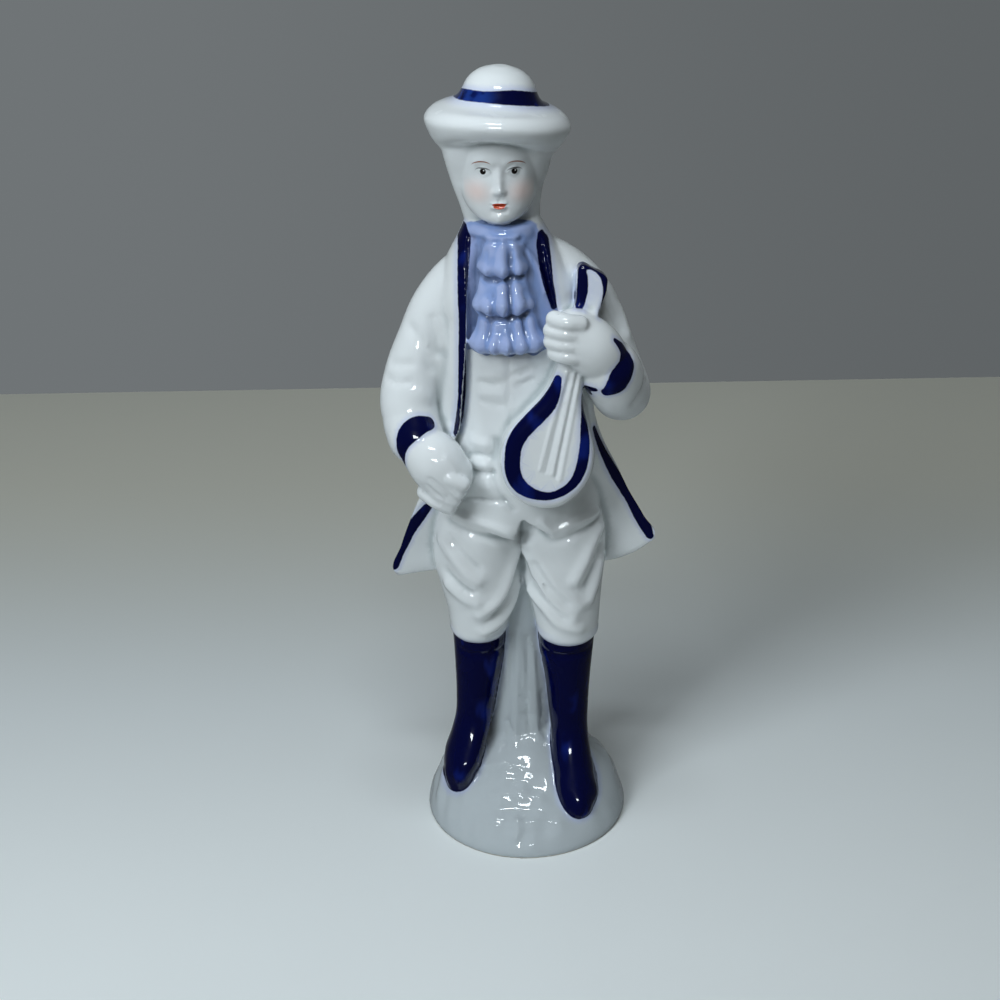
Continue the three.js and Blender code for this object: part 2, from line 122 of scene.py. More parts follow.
class CastingSettings(bpy.types.PropertyGroup):
    """How finely the figurine is cast and carved."""

    grain: bpy.props.FloatProperty(
        name="Grain",
        description="Size of the smallest piece of slip that the cast is made of",
        default=0.00035,
        min=0.0002,
        unit="LENGTH",
        precision=5,
    )
    softness: bpy.props.IntProperty(
        name="Softness",
        description="How far the glaze rounds edges and fills creases",
        default=6,
        min=0,
    )
    fold_depth: bpy.props.FloatProperty(
        name="Fold depth",
        description="Depth of the carved folds, as a share of the usual",
        default=1.0,
        min=0.0,
        subtype="FACTOR",
    )
    most_triangles: bpy.props.IntProperty(
        name="Most triangles",
        description="The finished mesh has about this many triangles",
        default=188000,
        min=20000,
    )


class PaintSettings(bpy.types.PropertyGroup):
    """The colours of glaze and paint."""

    glaze: bpy.props.FloatVectorProperty(
        name="Glaze",
        description="Colour of the white glaze",
        default=(0.83, 0.86, 0.87),
        subtype="COLOR",
    )
    # Partly glaze lying thick in hollows, partly painted shade: this grey darkens the creases and folds.
    pooled_glaze_and_shade: bpy.props.FloatVectorProperty(
        name="Pooled glaze",
        description="Colour of the glaze where it lies thick in hollows",
        default=(0.50, 0.55, 0.56),
        subtype="COLOR",
    )
    cobalt: bpy.props.FloatVectorProperty(
        name="Cobalt",
        description="Colour of the blue lines, band and boots where the paint is thick",
        default=(0.0004, 0.0016, 0.036),
        subtype="COLOR",
    )
    thin_cobalt: bpy.props.FloatVectorProperty(
        name="Thin cobalt",
        description="Colour of the same paint where the brush left little",
        default=(0.004, 0.014, 0.16),
        subtype="COLOR",
    )
    cloth: bpy.props.FloatVectorProperty(
        name="Neckcloth",
        description="Colour of the pale blue wash on the neckcloth",
        default=(0.26, 0.37, 0.68),
        subtype="COLOR",
    )
    # The mound and stump: partly a greyer glaze, partly painted shade on the base below the figure.
    ground_grey_and_shade: bpy.props.FloatVectorProperty(
        name="Mound and stump",
        description="Colour of the greyer glaze on the mound and the tree stump",
        default=(0.49, 0.535, 0.56),
        subtype="COLOR",
    )
    flesh: bpy.props.FloatVectorProperty(
        name="Blush",
        description="Colour of the blush on the cheeks",
        default=(0.86, 0.42, 0.30),
        subtype="COLOR",
    )
    lips: bpy.props.FloatVectorProperty(
        name="Lips",
        description="Colour of the painted lips",
        default=(0.62, 0.08, 0.03),
        subtype="COLOR",
    )
    brows: bpy.props.FloatVectorProperty(
        name="Brows",
        description="Colour of the brows",
        default=(0.30, 0.10, 0.05),
        subtype="COLOR",
    )
    biscuit: bpy.props.FloatVectorProperty(
        name="Biscuit",
        description="Colour of the bare clay under the foot",
        default=(0.62, 0.56, 0.48),
        subtype="COLOR",
    )


class StageSettings(bpy.types.PropertyGroup):
    """The table that the figurine stands on and the light that falls on it."""

    table: bpy.props.FloatVectorProperty(
        name="Table",
        description="Colour of the table",
        default=(0.66, 0.70, 0.71),
        subtype="COLOR",
    )
    backdrop: bpy.props.FloatVectorProperty(
        name="Backdrop",
        description="Colour of the room behind",
        default=(0.16, 0.175, 0.182),
        subtype="COLOR",
    )
    room: bpy.props.FloatVectorProperty(
        name="Room",
        description="Dim light that the room gives from all sides",
        default=(0.055, 0.057, 0.054),
        subtype="COLOR",
    )
    table_edge: bpy.props.FloatProperty(
        name="Table edge",
        description="How far behind the figurine the table ends",
        default=0.291,
        unit="LENGTH",
    )
    key_power: bpy.props.FloatProperty(
        name="Key lamp",
        description="Power of the lamp at the front left, which the other lamps follow",
        default=2.4,
        unit="POWER",
    )


# Curves through given rows


def faired(rows, gap, along=None):
    """Rows of numbers on a smooth curve through the given ones, at most gap apart. The curve runs by
    the first number of each row, or by the values in along."""
    rows = np.array(rows, float)
    run = rows[:, 0] if along is None else np.array(along, float)
    slopes = np.gradient(rows, run, axis=0)
    places = [run[:1]]
    for start, end in zip(run, run[1:]):
        count = max(1, math.ceil((end - start) / gap))
        places.append(np.linspace(start, end, count + 1)[1:])
    places = np.concatenate(places)
    part = np.clip(np.searchsorted(run, places, side="right") - 1, 0, len(run) - 2)
    width = (run[part + 1] - run[part])[:, None]
    t = (places - run[part])[:, None] / width
    start, end = rows[part], rows[part + 1]
    pull, push = slopes[part] * width, slopes[part + 1] * width
    return (
        (2 * t**3 - 3 * t**2 + 1) * start
        + (t**3 - 2 * t**2 + t) * pull
        + (3 * t**2 - 2 * t**3) * end
        + (t**3 - t**2) * push
    )


def chords(points):
    """How far along the line each of its points lies."""
    steps = np.linalg.norm(np.diff(points, axis=0), axis=1)
    return np.concatenate([[0], np.cumsum(steps)])


def faired_line(points, gap):
    """A smooth line through points, whose first three numbers are a place."""
    points = np.array(points, float)
    return faired(points, gap, chords(points[:, :3]))


def signed_power(values, power):
    """Values raised to a power, each with its own sign."""
    return np.sign(values) * np.abs(values) ** power


# Closed bodies


def level(z, wide, front, back=None, x=0.0, y=0.0, square=2.0, sweep=0.0, lift=0.0, lobes=0.0, ripple=0.0):
    """One level of a stack: its height, half its width, its depth before and behind its middle, and
    what makes it other than an oval."""
    back = front if back is None else back
    return (z, wide, front, back, x, y, square, sweep, lift, lobes, ripple)


def oval(row, sides):
    """The points round one level."""
    z, wide, front, back, x, y, square, sweep, lift, lobes, ripple = row
    turns = np.arange(sides) * 2 * math.pi / sides
    across = signed_power(np.cos(turns), 2 / square)
    along = signed_power(np.sin(turns), 2 / square)
    wave = ripple * np.cos(lobes * math.pi * across) * np.maximum(-along, 0)
    return np.column_stack(
        [
            x + wide * across,
            y + along * np.where(along < 0, front, back) - wave - sweep * np.abs(across) ** 1.2,
            z + lift * np.maximum(across, 0) ** 4,
        ]
    )


def loft(rings, turn=0):
    """Points and faces of a closed body through rings that have as many points each. Strips across the
    first and last ring close it. They join point i to point -i, or to point -1 - i where turn is 1."""
    rings = np.array(rings)
    count, sides, _ = rings.shape
    top = (count - 1) * sides
    faces = []
    for i in range(sides):
        j = (i + 1) % sides
        for row in range(0, top, sides):
            faces.append((row + i, row + j, row + sides + j, row + sides + i))
    for i in range((sides - turn) // 2):
        corners = [i, i + 1, (sides - turn - i - 1) % sides, (sides - turn - i) % sides]
        strip = list(dict.fromkeys(corners))
        faces.append(tuple(strip[::-1]))
        faces.append(tuple(top + corner for corner in strip))
    return rings.reshape(-1, 3), faces


def stack(levels, sides=72, gap=0.9):
    """A closed body through level ovals, from the lowest to the highest."""
    return loft([oval(row, sides) for row in faired(levels, gap)])


def limb(joints, sides=40, gap=0.8):
    """A closed limb with round ends along joints, each a place and a radius."""
    rows = faired_line(joints, gap)
    places, radii = rows[:, :3], rows[:, 3]
    headings = np.gradient(places, axis=0)
    headings /= np.linalg.norm(headings, axis=1)[:, None]
    arcs = np.radians([80, 65, 50, 35, 18])
    middles = list(places)
    sizes = list(radii)
    ways = list(headings)
    for arc in arcs[::-1]:
        middles.insert(0, places[0] - headings[0] * radii[0] * math.sin(arc))
        sizes.insert(0, radii[0] * math.cos(arc))
        ways.insert(0, headings[0])
        middles.append(places[-1] + headings[-1] * radii[-1] * math.sin(arc))
        sizes.append(radii[-1] * math.cos(arc))
        ways.append(headings[-1])
    turns = np.arange(sides) * 2 * math.pi / sides
    rings = []
    for middle, size, way in zip(middles, sizes, ways):
        side = np.cross((0, -1, 0), way)
        side /= np.linalg.norm(side)
        out = np.cross(way, side)
        rings.append(middle + size * (np.outer(np.cos(turns), side) + np.outer(np.sin(turns), out)))
    return loft(rings)


def prism(outline, near, far):
    """A block with the given front outline, from y = near to y = far."""
    outline = np.array(outline, float)
    count = len(outline)
    points = [(x, y, z) for y in (near, far) for x, z in outline]
    faces = [tuple(range(count)), tuple(range(2 * count - 1, count - 1, -1))]
    for i in range(count):
        j = (i + 1) % count
        faces.append((i, i + count, j + count, j))
    return np.array(points), faces


def plate(right, left, thick, rounding):
    """A flat body with round edges, drawn from the front: its right and left outlines run up from its
    foot to its top, as pairs of x and z. Its back is at y = 0."""
    outline = np.vstack([right, left[::-1]])
    ahead = np.roll(outline, -1, axis=0) - np.roll(outline, 1, axis=0)
    inward = np.column_stack([-ahead[:, 1], ahead[:, 0]])
    inward /= np.linalg.norm(inward, axis=1)[:, None]
    rings = []
    for turn in np.radians([90, 70, 50, 30, 12]):
        rings.append((rounding * (1 - math.cos(turn)), rounding * (1 - math.sin(turn))))
    rings += [(inset, thick - y) for inset, y in rings[::-1]]
    layers = []
    for inset, y in rings:
        drawn = outline + inward * inset
        layers.append(np.column_stack([drawn[:, 0], np.full(len(drawn), -y), drawn[:, 1]]))
    return loft(layers, turn=1)


# The forms of the figurine


def mound():
    """The low rocky mound, flat below."""
    edge = 26.8
    return stack(
        [
            level(0, edge - 0.8, edge - 0.1),
            level(0.8, edge - 0.5, edge),
            level(3, edge - 0.9, edge - 0.8),
            level(5.8, edge - 1.7, edge - 3.3, edge - 1.5),
            level(8.6, edge - 2.8, edge - 6.6, edge - 2.4),
            level(11.2, edge - 4.3, edge - 9.8, edge - 3.6),
            level(14, edge - 6.7, edge - 13.2, edge - 5.8),
            level(16.8, edge - 10.6, edge - 16, edge - 9.6),
            level(19.4, 10.4, 8, 13),
            level(22, 8, 4.4, 11),
            level(25, 6, 1, 9),
        ],
        sides=120,
    )


def stump():
    """The tree stump that backs the legs, spreading into the mound."""
    return stack(
        [
            level(12, 12.5, 10.5, 11, x=-0.8, y=4),
            level(17, 10.4, 8.6, 9, x=-0.8, y=4),
            level(23, 9, 7.4, 7.8, x=-0.8, y=4),
            level(34, 8, 6.4, 6.8, x=-0.5, y=4),
            level(50, 7.4, 5.8, 6.4, x=-0.4, y=3.5),
            level(76, 6.4, 5.4, 6, x=-0.4, y=1.5),
        ]
    )


def left_boot():
    """The boot that stands further back, its toe turned out."""
    return stack(
        [
            level(9, 4.4, 6.4, 7, x=-17, y=-4.4),
            level(12.8, 4.4, 7.8, 6.6, x=-17.3, y=-4.2),
            level(15.8, 4.9, 9.2, 6.4, x=-17, y=-3.8),
            level(19.2, 5.2, 9, 6.4, x=-16.2, y=-3),
            level(23, 5, 7.2, 6, x=-14.9, y=-1.6),
            level(28, 4.9, 5.6, 5.4, x=-13.6, y=-0.2),
            level(35, 5.3, 5.5, x=-12.8, y=0.1),
            level(43, 6, 6.2, x=-12.2, y=0.1),
            level(50, 6.6, 6.8, x=-11.8),
            level(56, 6.9, 7.1, x=-11.8, y=-0.2),
        ]
    )


def right_boot():
    """The boot that stands further down the mound."""
    return stack(
        [
            level(4, 4.8, 9.4, 9, x=12.5, y=-8),
            level(7.4, 5.7, 11.4, 9, x=12.6, y=-8),
            level(10.6, 6.1, 11.6, 8.6, x=12.6, y=-7.8),
            level(14.6, 5.8, 10.2, 7.8, x=12.2, y=-6.6),
            level(19.6, 5.2, 8, 6.6, x=11.7, y=-4.4),
            level(25, 4.9, 6, 5.6, x=11.4, y=-3),
            level(33, 5.3, 5.6, x=11.1, y=-2.8),
            level(42, 6, 6.2, x=10.9, y=-3),
            level(50, 6.9, 6.9, x=10.7, y=-3),
            level(57, 7.4, 7.4, x=10.8, y=-3),
        ]
    )


def left_breeches():
    """The left leg of the breeches, gathered at the boot."""
    return stack(
        [
            level(52.6, 5, 5.4, x=-11.8, y=-0.4),
            level(54, 6.9, 7.6, 7.2, x=-11.8, y=-0.4),
            level(57, 7.6, 8.6, 8, x=-11.7, y=-0.4),
            level(61, 8.3, 9.2, 8.4, x=-11.4, y=-0.6),
            level(67, 9.7, 9.9, 8.8, x=-11.4, y=-0.8),
            level(76, 11.1, 10.3, 9, x=-11.8, y=-0.8),
            level(85, 11.4, 10.6, 9, x=-11, y=-0.8),
            level(94, 10.5, 10, 9, x=-9.5, y=-0.8),
        ]
    )


def right_breeches():
    """The right leg of the breeches."""
    return stack(
        [
            level(53.2, 5.6, 5.8, 5.6, x=11, y=-3.4),
            level(54.6, 7.4, 7.8, 7.4, x=11, y=-3.4),
            level(57.5, 8, 8.6, 8.2, x=10.9, y=-3.2),
            level(61, 8.5, 9, 8.8, x=10.7, y=-2.8),
            level(67, 9.4, 9.4, 9.6, x=10.3, y=-2),
            level(76, 10.5, 10, 9.6, x=10.1, y=-1.4),
            level(85, 11, 10.4, 9.4, x=9.4, y=-1),
            level(94, 10.5, 10, 9, x=8, y=-0.8),
        ]
    )


def waistcoat():
    """The trunk of the body, before its hem is cut."""
    return stack(
        [
            level(82, 21, 12.4, 9, x=-1.2),
            level(92, 20.8, 12.8, 9, x=-1.2),
            level(100, 18.6, 12.8, 9, x=-1),
            level(110, 16, 12, 9, x=-1),
            level(122, 14.4, 11.2, 9, x=-1.6),
            level(136, 14.6, 11.4, 9, x=-2.2),
            level(150, 13.4, 10.8, 8.4, x=-3),
            level(158, 11, 8.8, 7.6, x=-3.6),
            level(163, 8.6, 7.4, 7, x=-3.8),
        ]
    )


def waistcoat_kept():
    """All that lies above the two pointed flaps of the waistcoat's hem."""
    return prism(
        [
            (-26, 92.4),
            (-18.2, 90),
            (-2.3, 85.1),
            (-0.4, 91),
            (3.9, 87.9),
            (6.9, 85.8),
            (18.8, 88.8),
            (26, 92),
            (26, 170),
            (-26, 170),
        ],
        -30,
        30,
    )


def coat():
    """The coat, its skirt flung out to both sides behind the legs, before its front is opened."""
    return stack(
        [
            level(70.8, 32.4, -1.4, 8, y=3.6, square=2.3, sweep=7.2, lift=9),
            level(71.8, 33, -0.8, 9, y=3.6, square=2.3, sweep=7.2, lift=8.8),
            level(79.5, 30.6, -0.6, 9, x=-0.4, y=3.4, square=2.3, sweep=7, lift=7.4),
            level(88, 27.1, 0.6, 8.8, x=-0.8, y=2.8, square=2.3, sweep=6, lift=6),
            level(96, 23.9, 3, 9, x=-0.6, y=1.6, square=2.3, sweep=4.4, lift=4.6),
            level(104, 20.9, 7.6, 9.4, x=-0.6, y=0.6, square=2.2, sweep=2, lift=2.4),
            level(112, 20, 10.4, 10, x=-1.9, square=2.3, lift=0.6),
            level(124, 19, 12.2, 10.4, x=-2, square=2.3),
            level(138, 17.6, 12.6, 11.2, x=-2.4, square=2.3),
            level(148, 16.6, 12, 11, x=-2.8, square=2.2),
            level(155, 14, 10.4, 10, x=-3.4, square=2.1),
            level(160, 11, 8.8, 9, x=-3.8),
            level(164.5, 8.7, 7, 8.4, x=-4, y=0.4),
        ],
        sides=120,
    )


def coat_opening():
    """What is cut from the coat's front, so that it hangs open."""
    return prism(
        [
            (-11.6, 172),
            (-12.7, 160),
            (-12.9, 140),
            (-15.2, 113.6),
            (-19, 104),
            (-24, 94),
            (-30, 84),
            (28, 88),
            (22.5, 103),
            (16.8, 114),
            (12.5, 128),
            (7.6, 148),
            (4.9, 162),
            (4.2, 172),
        ],
        -40,
        -4.5,
    )


def left_sleeve():
    """The wide sleeve that hangs bent to the hip."""
    return limb(
        [
            (-10, 1, 154, 4.8),
            (-15.4, 1, 148.8, 5.8),
            (-19.6, 0.8, 142, 6.7),
            (-22.9, 0, 134, 7),
            (-26, -1.5, 125.5, 7.3),
            (-27.3, -4, 118.5, 7.2),
            (-26, -7.4, 113, 6.4),
        ]
    )


def sleeve_seam():
    """The cloth that runs from the left sleeve to the chest of the coat."""
    return limb([(-18.6, -2.8, 143, 3), (-19.3, -3.2, 133, 3.5), (-19.7, -2.8, 121, 3.2)])


def right_upper_sleeve():
    """The sleeve from the right shoulder to the elbow."""
    return limb(
        [
            (4.5, 1, 155.5, 4.8),
            (10, 1, 150.6, 6.2),
            (15, 0.8, 144.4, 6.9),
            (18.3, 0, 137, 7),
            (21, -2, 129.4, 7.1),
            (23.7, -4.6, 122.4, 7.2),
        ]
    )


def right_fore_sleeve():
    """The sleeve from the right elbow, raised to the lute."""
    return limb([(23.9, -5.4, 121.8, 7.2), (22.8, -8.6, 124, 6.9), (20.6, -12, 128.4, 6.2)])


def left_cuff():
    """The turned-back cuff at the hip."""
    return limb([(-27, -6, 115, 6.9), (-25.9, -8.2, 112, 6.9)], sides=64)


def right_cuff():
    """The turned-back cuff at the lute."""
    return limb([(22, -9.6, 127, 7.4), (20.6, -11.4, 130, 7.4)], sides=64)


def finger(joints):
    """One finger along its joints."""
    return limb([(*joint, 2.1) for joint in joints], sides=24, gap=0.4)


def left_hand():
    """The fist at the hip: its fingers run on from the wrist and curl round the edge of the coat."""
    forms = [limb([(-25.5, -9.5, 111, 5.6), (-21.2, -12, 107, 7), (-18.8, -12.4, 103.6, 6.7)])]
    for i in range(4):
        x, z = -21.1 + 1.1 * i, 98.2 + 2.3 * i
        forms.append(
            finger(
                [
                    (x - 2.8, -14 - 0.5 * i, z + 1.6),
                    (x, -15.6 - 0.6 * i, z),
                    (x + 3, -15.4 - 0.7 * i, z - 1.7),
                ]
            )
        )
    return forms


def right_hand():
    """The hand on the neck of the lute: its fingers lie level across it."""
    forms = [
        limb([(20.2, -12, 131.6, 6), (16.4, -13.4, 136.4, 6.8), (12.4, -13.6, 139.6, 6.4)]),
        limb([(8.7, -16.1, 143.6, 2.6), (8.7, -16.1, 137.2, 2.6)]),
    ]
    for i in range(4):
        z = 144.5 - 2.75 * i
        end = 6.8 + 0.35 * abs(i - 1.4) ** 2
        forms.append(finger([(13.4, -17.4, z - 0.8), (10, -18.1, z), (end, -16.4, z + 0.2)]))
    return forms


def lute_place():
    """Where the lute lies, as a matrix on points drawn with its belly round the origin."""
    return (
        Matrix.Translation(LUTE_PLACE)
        @ Matrix.Rotation(LUTE_TILT, 4, "Y")
        @ Matrix.Rotation(-LUTE_LEAN, 4, "X")
    )


def lute():
    """A pear-shaped body with its neck, and a flat peg box."""
    half_widths = [
        (-11.6, 1.6),
        (-10.4, 5.2),
        (-6, 9.4),
        (0, 11.2),
        (5, 10.6),
        (10, 8.1),
        (15, 5.2),
        (20, 3.7),
        (26, 3.1),
        (38, 2.9),
    ]
    pairs = faired_line([(half, 0, along) for along, half in half_widths], 0.5)
    right = pairs[:, [0, 2]]
    left = right * (-1, 1)
    body = plate(right, left, 9.8, 2.3)
    edges = [
        (0, 2.9, 35, -2.7, 35),
        (5, 3.4, 40, -2.9, 39.6),
        (9.2, 3.4, 44.6, -4.2, 46.2),
        (10.2, 3, 46, -4, 47.4),
        (10.7, 1.9, 46.7, -3, 47.9),
    ]
    sides = faired(edges, 0.4)
    box = plate(sides[:, 1:3], sides[:, 3:5], 5.6, 0.7)
    place = lute_place()
    forms = []
    for (points, faces), behind in ((body, 2.4), (box, 0.8)):
        points = points + (0, behind, 0)
        forms.append((np.array([place @ Vector(point) for point in points]), faces))
    return forms


def neckcloth():
    """A cloth wound round the throat, and three tiers of ruffle that fall from it."""
    forms = [
        stack(
            [
                level(157, 9.4, 9.2, 7, x=-3.8),
                level(160, 9, 9, 7.4, x=-3.9),
                level(162.8, 8.7, 8.6, 7.6, x=-4.1),
                level(164, 8, 7.8, 7.2, x=-4.2),
                level(164.6, 6.4, 6.4, 6, x=-4.3),
            ]
        )
    ]
    tiers = [
        (-4.2, 162.4, 153.4, 4, 6.1, -8.6, 3),
        (-4.2, 155.6, 144.4, 5, 7.2, -10, 4),
        (-3.4, 147, 135, 6, 8.9, -10.6, 5),
    ]
    for x, top, bottom, narrow, broad, y, lobes in tiers:
        middle = (top + bottom) / 2
        width = (broad + narrow) / 2
        forms.append(
            stack(
                [
                    level(bottom, broad - 0.8, 3.6, 2, x=x, y=y, lobes=lobes, ripple=0.7),
                    level(bottom + 1, broad, 4.6, 2, x=x, y=y, lobes=lobes, ripple=0.8),
                    level(middle, width, 3.6, 2, x=x, y=y + 0.3, lobes=lobes, ripple=0.5),
                    level(top, narrow, 2, 2, x=x, y=y + 0.6, lobes=lobes, ripple=0.2),
                ]
            )
        )
    return forms


def hair():
    """Full hair that narrows from under the brim to the collar."""
    return stack(
        [
            level(158.5, 8, 5, 8.5, x=-4.6, y=1),
            level(163.6, 8.9, 5.6, 10, x=-4.2, y=1, square=2.2),
            level(167.5, 9.5, 6.4, 11, x=-4.6, y=1, square=2.4),
            level(172, 10.6, 6.8, 11.6, x=-5, y=0.7, square=2.5),
            level(175.5, 11.7, 7.2, 12, x=-4.9, y=0.5, square=2.5),
            level(178.7, 12.5, 7.6, 12.2, x=-4.9, square=2.5),
            level(181, 13.3, 8, 12.4, x=-4.6, square=2.5),
            level(184, 13.2, 8.8, 12.4, x=-4.8, square=2.4),
            level(187, 12.8, 8.8, 12, x=-4.8),
        ]
    )


def face():
    """The plain egg of the face. Its features are carved later."""
    middle = FACE_MIDDLE
    return stack(
        [
            level(164.9, 2.6, 3, x=middle, y=-5),
            level(165.8, 4.7, 4.9, 4, x=middle, y=-4.4),
            level(167.8, 6.9, 6.4, 5, x=middle, y=-3.6),
            level(171, 8.7, 7.6, 5, x=middle, y=-2.6),
            level(175, 9.4, 8.1, 6, x=middle, y=-1.9),
            level(180, 9.4, 8.5, 6, x=middle, y=-1.6),
            level(184, 9.6, 8.4, 6, x=middle, y=-1.4),
            level(187, 9.4, 8, 6, x=middle, y=-1),
        ],
        sides=96,
    )


def hat():
    """A round hat: a low domed crown, and a puffed brim that is turned up in front and runs into the
    hair below."""
    points, faces = stack(
        [
            level(-6.8, 12.6, 7, 11.4),
            level(-5.2, 14.1, 9.4, 12.8),
            level(-3.6, 15.3, 13, 14.4),
            level(-2.4, 15.9, 14.8, 15.4),
            level(-1.2, 16.5, 15.7, 16.2),
            level(0.6, 16.9, 16.4, 16.9),
            level(1.9, 16.1, 15.8),
            level(2.9, 14.9, 14.7),
            level(3.6, 13.4, 13.3),
            level(4.2, 12, 12),
            level(4.8, 10.8, 10.8),
            level(5.6, 9.8, 9.8),
            level(6.6, 9.1, 9.1),
            level(7.8, 8.5, 8.5),
            level(9.6, 7.7, 7.7),
            level(11.2, 6.3, 6.3),
            level(12.4, 4.3, 4.3),
            level(13.2, 1.7, 1.7),
        ],
        sides=144,
        gap=0.4,
    )
    x, y, z = points.T
    out = np.hypot(x, y)
    forward = np.clip(-y / np.maximum(out, 1), 0, 1) ** 1.7
    towards_edge = np.clip((out - 9) / 7, 0, 1)
    over = towards_edge**2 * (3 - 2 * towards_edge)
    under = 1 + 0.43 * np.clip((16.5 - out) / 6.7, 0, 1)
    points[:, 2] += 2.1 * forward * np.where(z > 0.6, over, under)
    place = Matrix.Translation((*HAT_MIDDLE, HAT_LEVEL)) @ Matrix.Rotation(HAT_TILT, 4, "Y")
    return np.array([place @ Vector(point) for point in points]), faces


# Meshes


def mesh_object(name, form):
    """A new object with the mesh of a form, its faces outwards."""
    points, faces = form
    mesh = bpy.data.meshes.new(name)
    mesh.from_pydata((points * MM).tolist(), [], faces)
    made = bpy.data.objects.new(name, mesh)
    bpy.context.collection.objects.link(made)
    select_only(made)
    bpy.ops.object.mode_set(mode="EDIT")
    bpy.ops.mesh.select_all(action="SELECT")
    bpy.ops.mesh.normals_make_consistent(inside=False)
    bpy.ops.object.mode_set(mode="OBJECT")
    return made


def select_only(*objects):
    """Selects these objects and no others, the first of them active."""
    bpy.ops.object.select_all(action="DESELECT")
    for each in objects:
        each.select_set(True)
    bpy.context.view_layer.objects.active = objects[0]


def apply_modifier(piece, kind, **settings):
    """Adds one modifier with these settings and applies it."""
    select_only(piece)
    modifier = piece.modifiers.new(kind.title(), kind)
    for key, value in settings.items():
        setattr(modifier, key, value)
    bpy.ops.object.modifier_apply(modifier=modifier.name)


def cut(name, form, tool, operation):
    """A form cut by another, as points and faces again."""
    piece = mesh_object(name, form)
    cutter = mesh_object(name + "_cutter", tool)
    apply_modifier(piece, "BOOLEAN", object=cutter, operation=operation, solver="EXACT")
    points = points_of(piece) / MM
    faces = [tuple(face.vertices) for face in piece.data.polygons]
    bpy.data.objects.remove(piece)
    bpy.data.objects.remove(cutter)
    return points, faces


def points_of(piece):
    """The places of a piece's points, in metres."""
    found = np.empty(len(piece.data.vertices) * 3)
    piece.data.vertices.foreach_get("co", found)
    return found.reshape(-1, 3)


def normals_of(piece):
    """The way that the surface faces at each point."""
    found = np.empty(len(piece.data.vertices) * 3, np.float32)
    piece.data.vertex_normals.foreach_get("vector", found)
    return found.reshape(-1, 3).astype(float)


def move_points(piece, points):
    """Moves a piece's points to new places, in metres."""
    piece.data.vertices.foreach_set("co", points.ravel())
    piece.data.update()


def tree_of(forms):
    """A search tree over forms, in millimetres."""
    points, faces = [], []
    for form_points, form_faces in forms:
        start = len(points)
        points += form_points.tolist()
        faces += [tuple(start + index for index in face) for face in form_faces]
    return BVHTree.FromPolygons(points, faces)


def forms_of_the_figure():
    """Every form by the part of the figure that it belongs to."""
    return {
        "ground": [mound(), stump()],
        "boots": [left_boot(), right_boot()],
        "breeches": [left_breeches(), right_breeches()],
        "waistcoat": [cut("waistcoat", waistcoat(), waistcoat_kept(), "INTERSECT")],
        "coat": [cut("coat", coat(), coat_opening(), "DIFFERENCE")],
        "sleeves": [
            left_sleeve(),
            sleeve_seam(),
            left_cuff(),
            right_upper_sleeve(),
            right_fore_sleeve(),
            right_cuff(),
        ],
        "hands": left_hand() + right_hand(),
        "lute": lute(),
        "neckcloth": neckcloth(),
        "head": [hair(), face()],
        "hat": [hat()],
    }


FORMS = {}  # the forms that the cast was fused from, kept to tell paint where one ends


# Carving


def distance_to(points, line):
    """How far each point lies from a line of places, and the line's fourth number at its nearest place."""
    nearest = np.full(len(points), np.inf)
    width = np.zeros(len(points))
    for start, end in zip(line, line[1:]):
        run = end[:3] - start[:3]
        share = np.clip((points - start[:3]) @ run / max(run @ run, 1e-9), 0, 1)
        away = np.linalg.norm(points - start[:3] - share[:, None] * run, axis=1)
        closer = away < nearest
        nearest[closer] = away[closer]
        width[closer] = (start[3] + (end[3] - start[3]) * share)[closer]
    return nearest, width


def on_surface(line, tree):
    """The same line with its places moved on to the surface."""
    return np.array([(*tree.find_nearest(row[:3])[0], row[3]) for row in line])


def near(points, line, margin):
    """Which points lie within margin of the box round a line."""
    low, high = line[:, :3].min(axis=0) - margin, line[:, :3].max(axis=0) + margin
    return np.flatnonzero(np.all((points > low) & (points < high), axis=1))


def press(piece, strokes, share=1.0):
    """Moves the surface out by each stroke's rise near its line, or in where that is negative. A stroke
    is (rise, half width, places)."""
    points = points_of(piece) / MM
    normals = normals_of(piece)
    faces = [tuple(face.vertices) for face in piece.data.polygons]
    tree = BVHTree.FromPolygons(points.tolist(), faces)
    moved = np.zeros(len(points))
    for rise, width, places in strokes:
        places = [(*place, width) for place in places]
        line = faired_line(places, 0.6) if len(places) > 1 else np.array(places * 2, float)
        line = on_surface(line, tree)
        close = near(points, line, 3 * width)
        away, _ = distance_to(points[close], line)
        moved[close] += rise * share * np.exp(-((away / width) ** 2))
    move_points(piece, (points + normals * moved[:, None]) * MM)


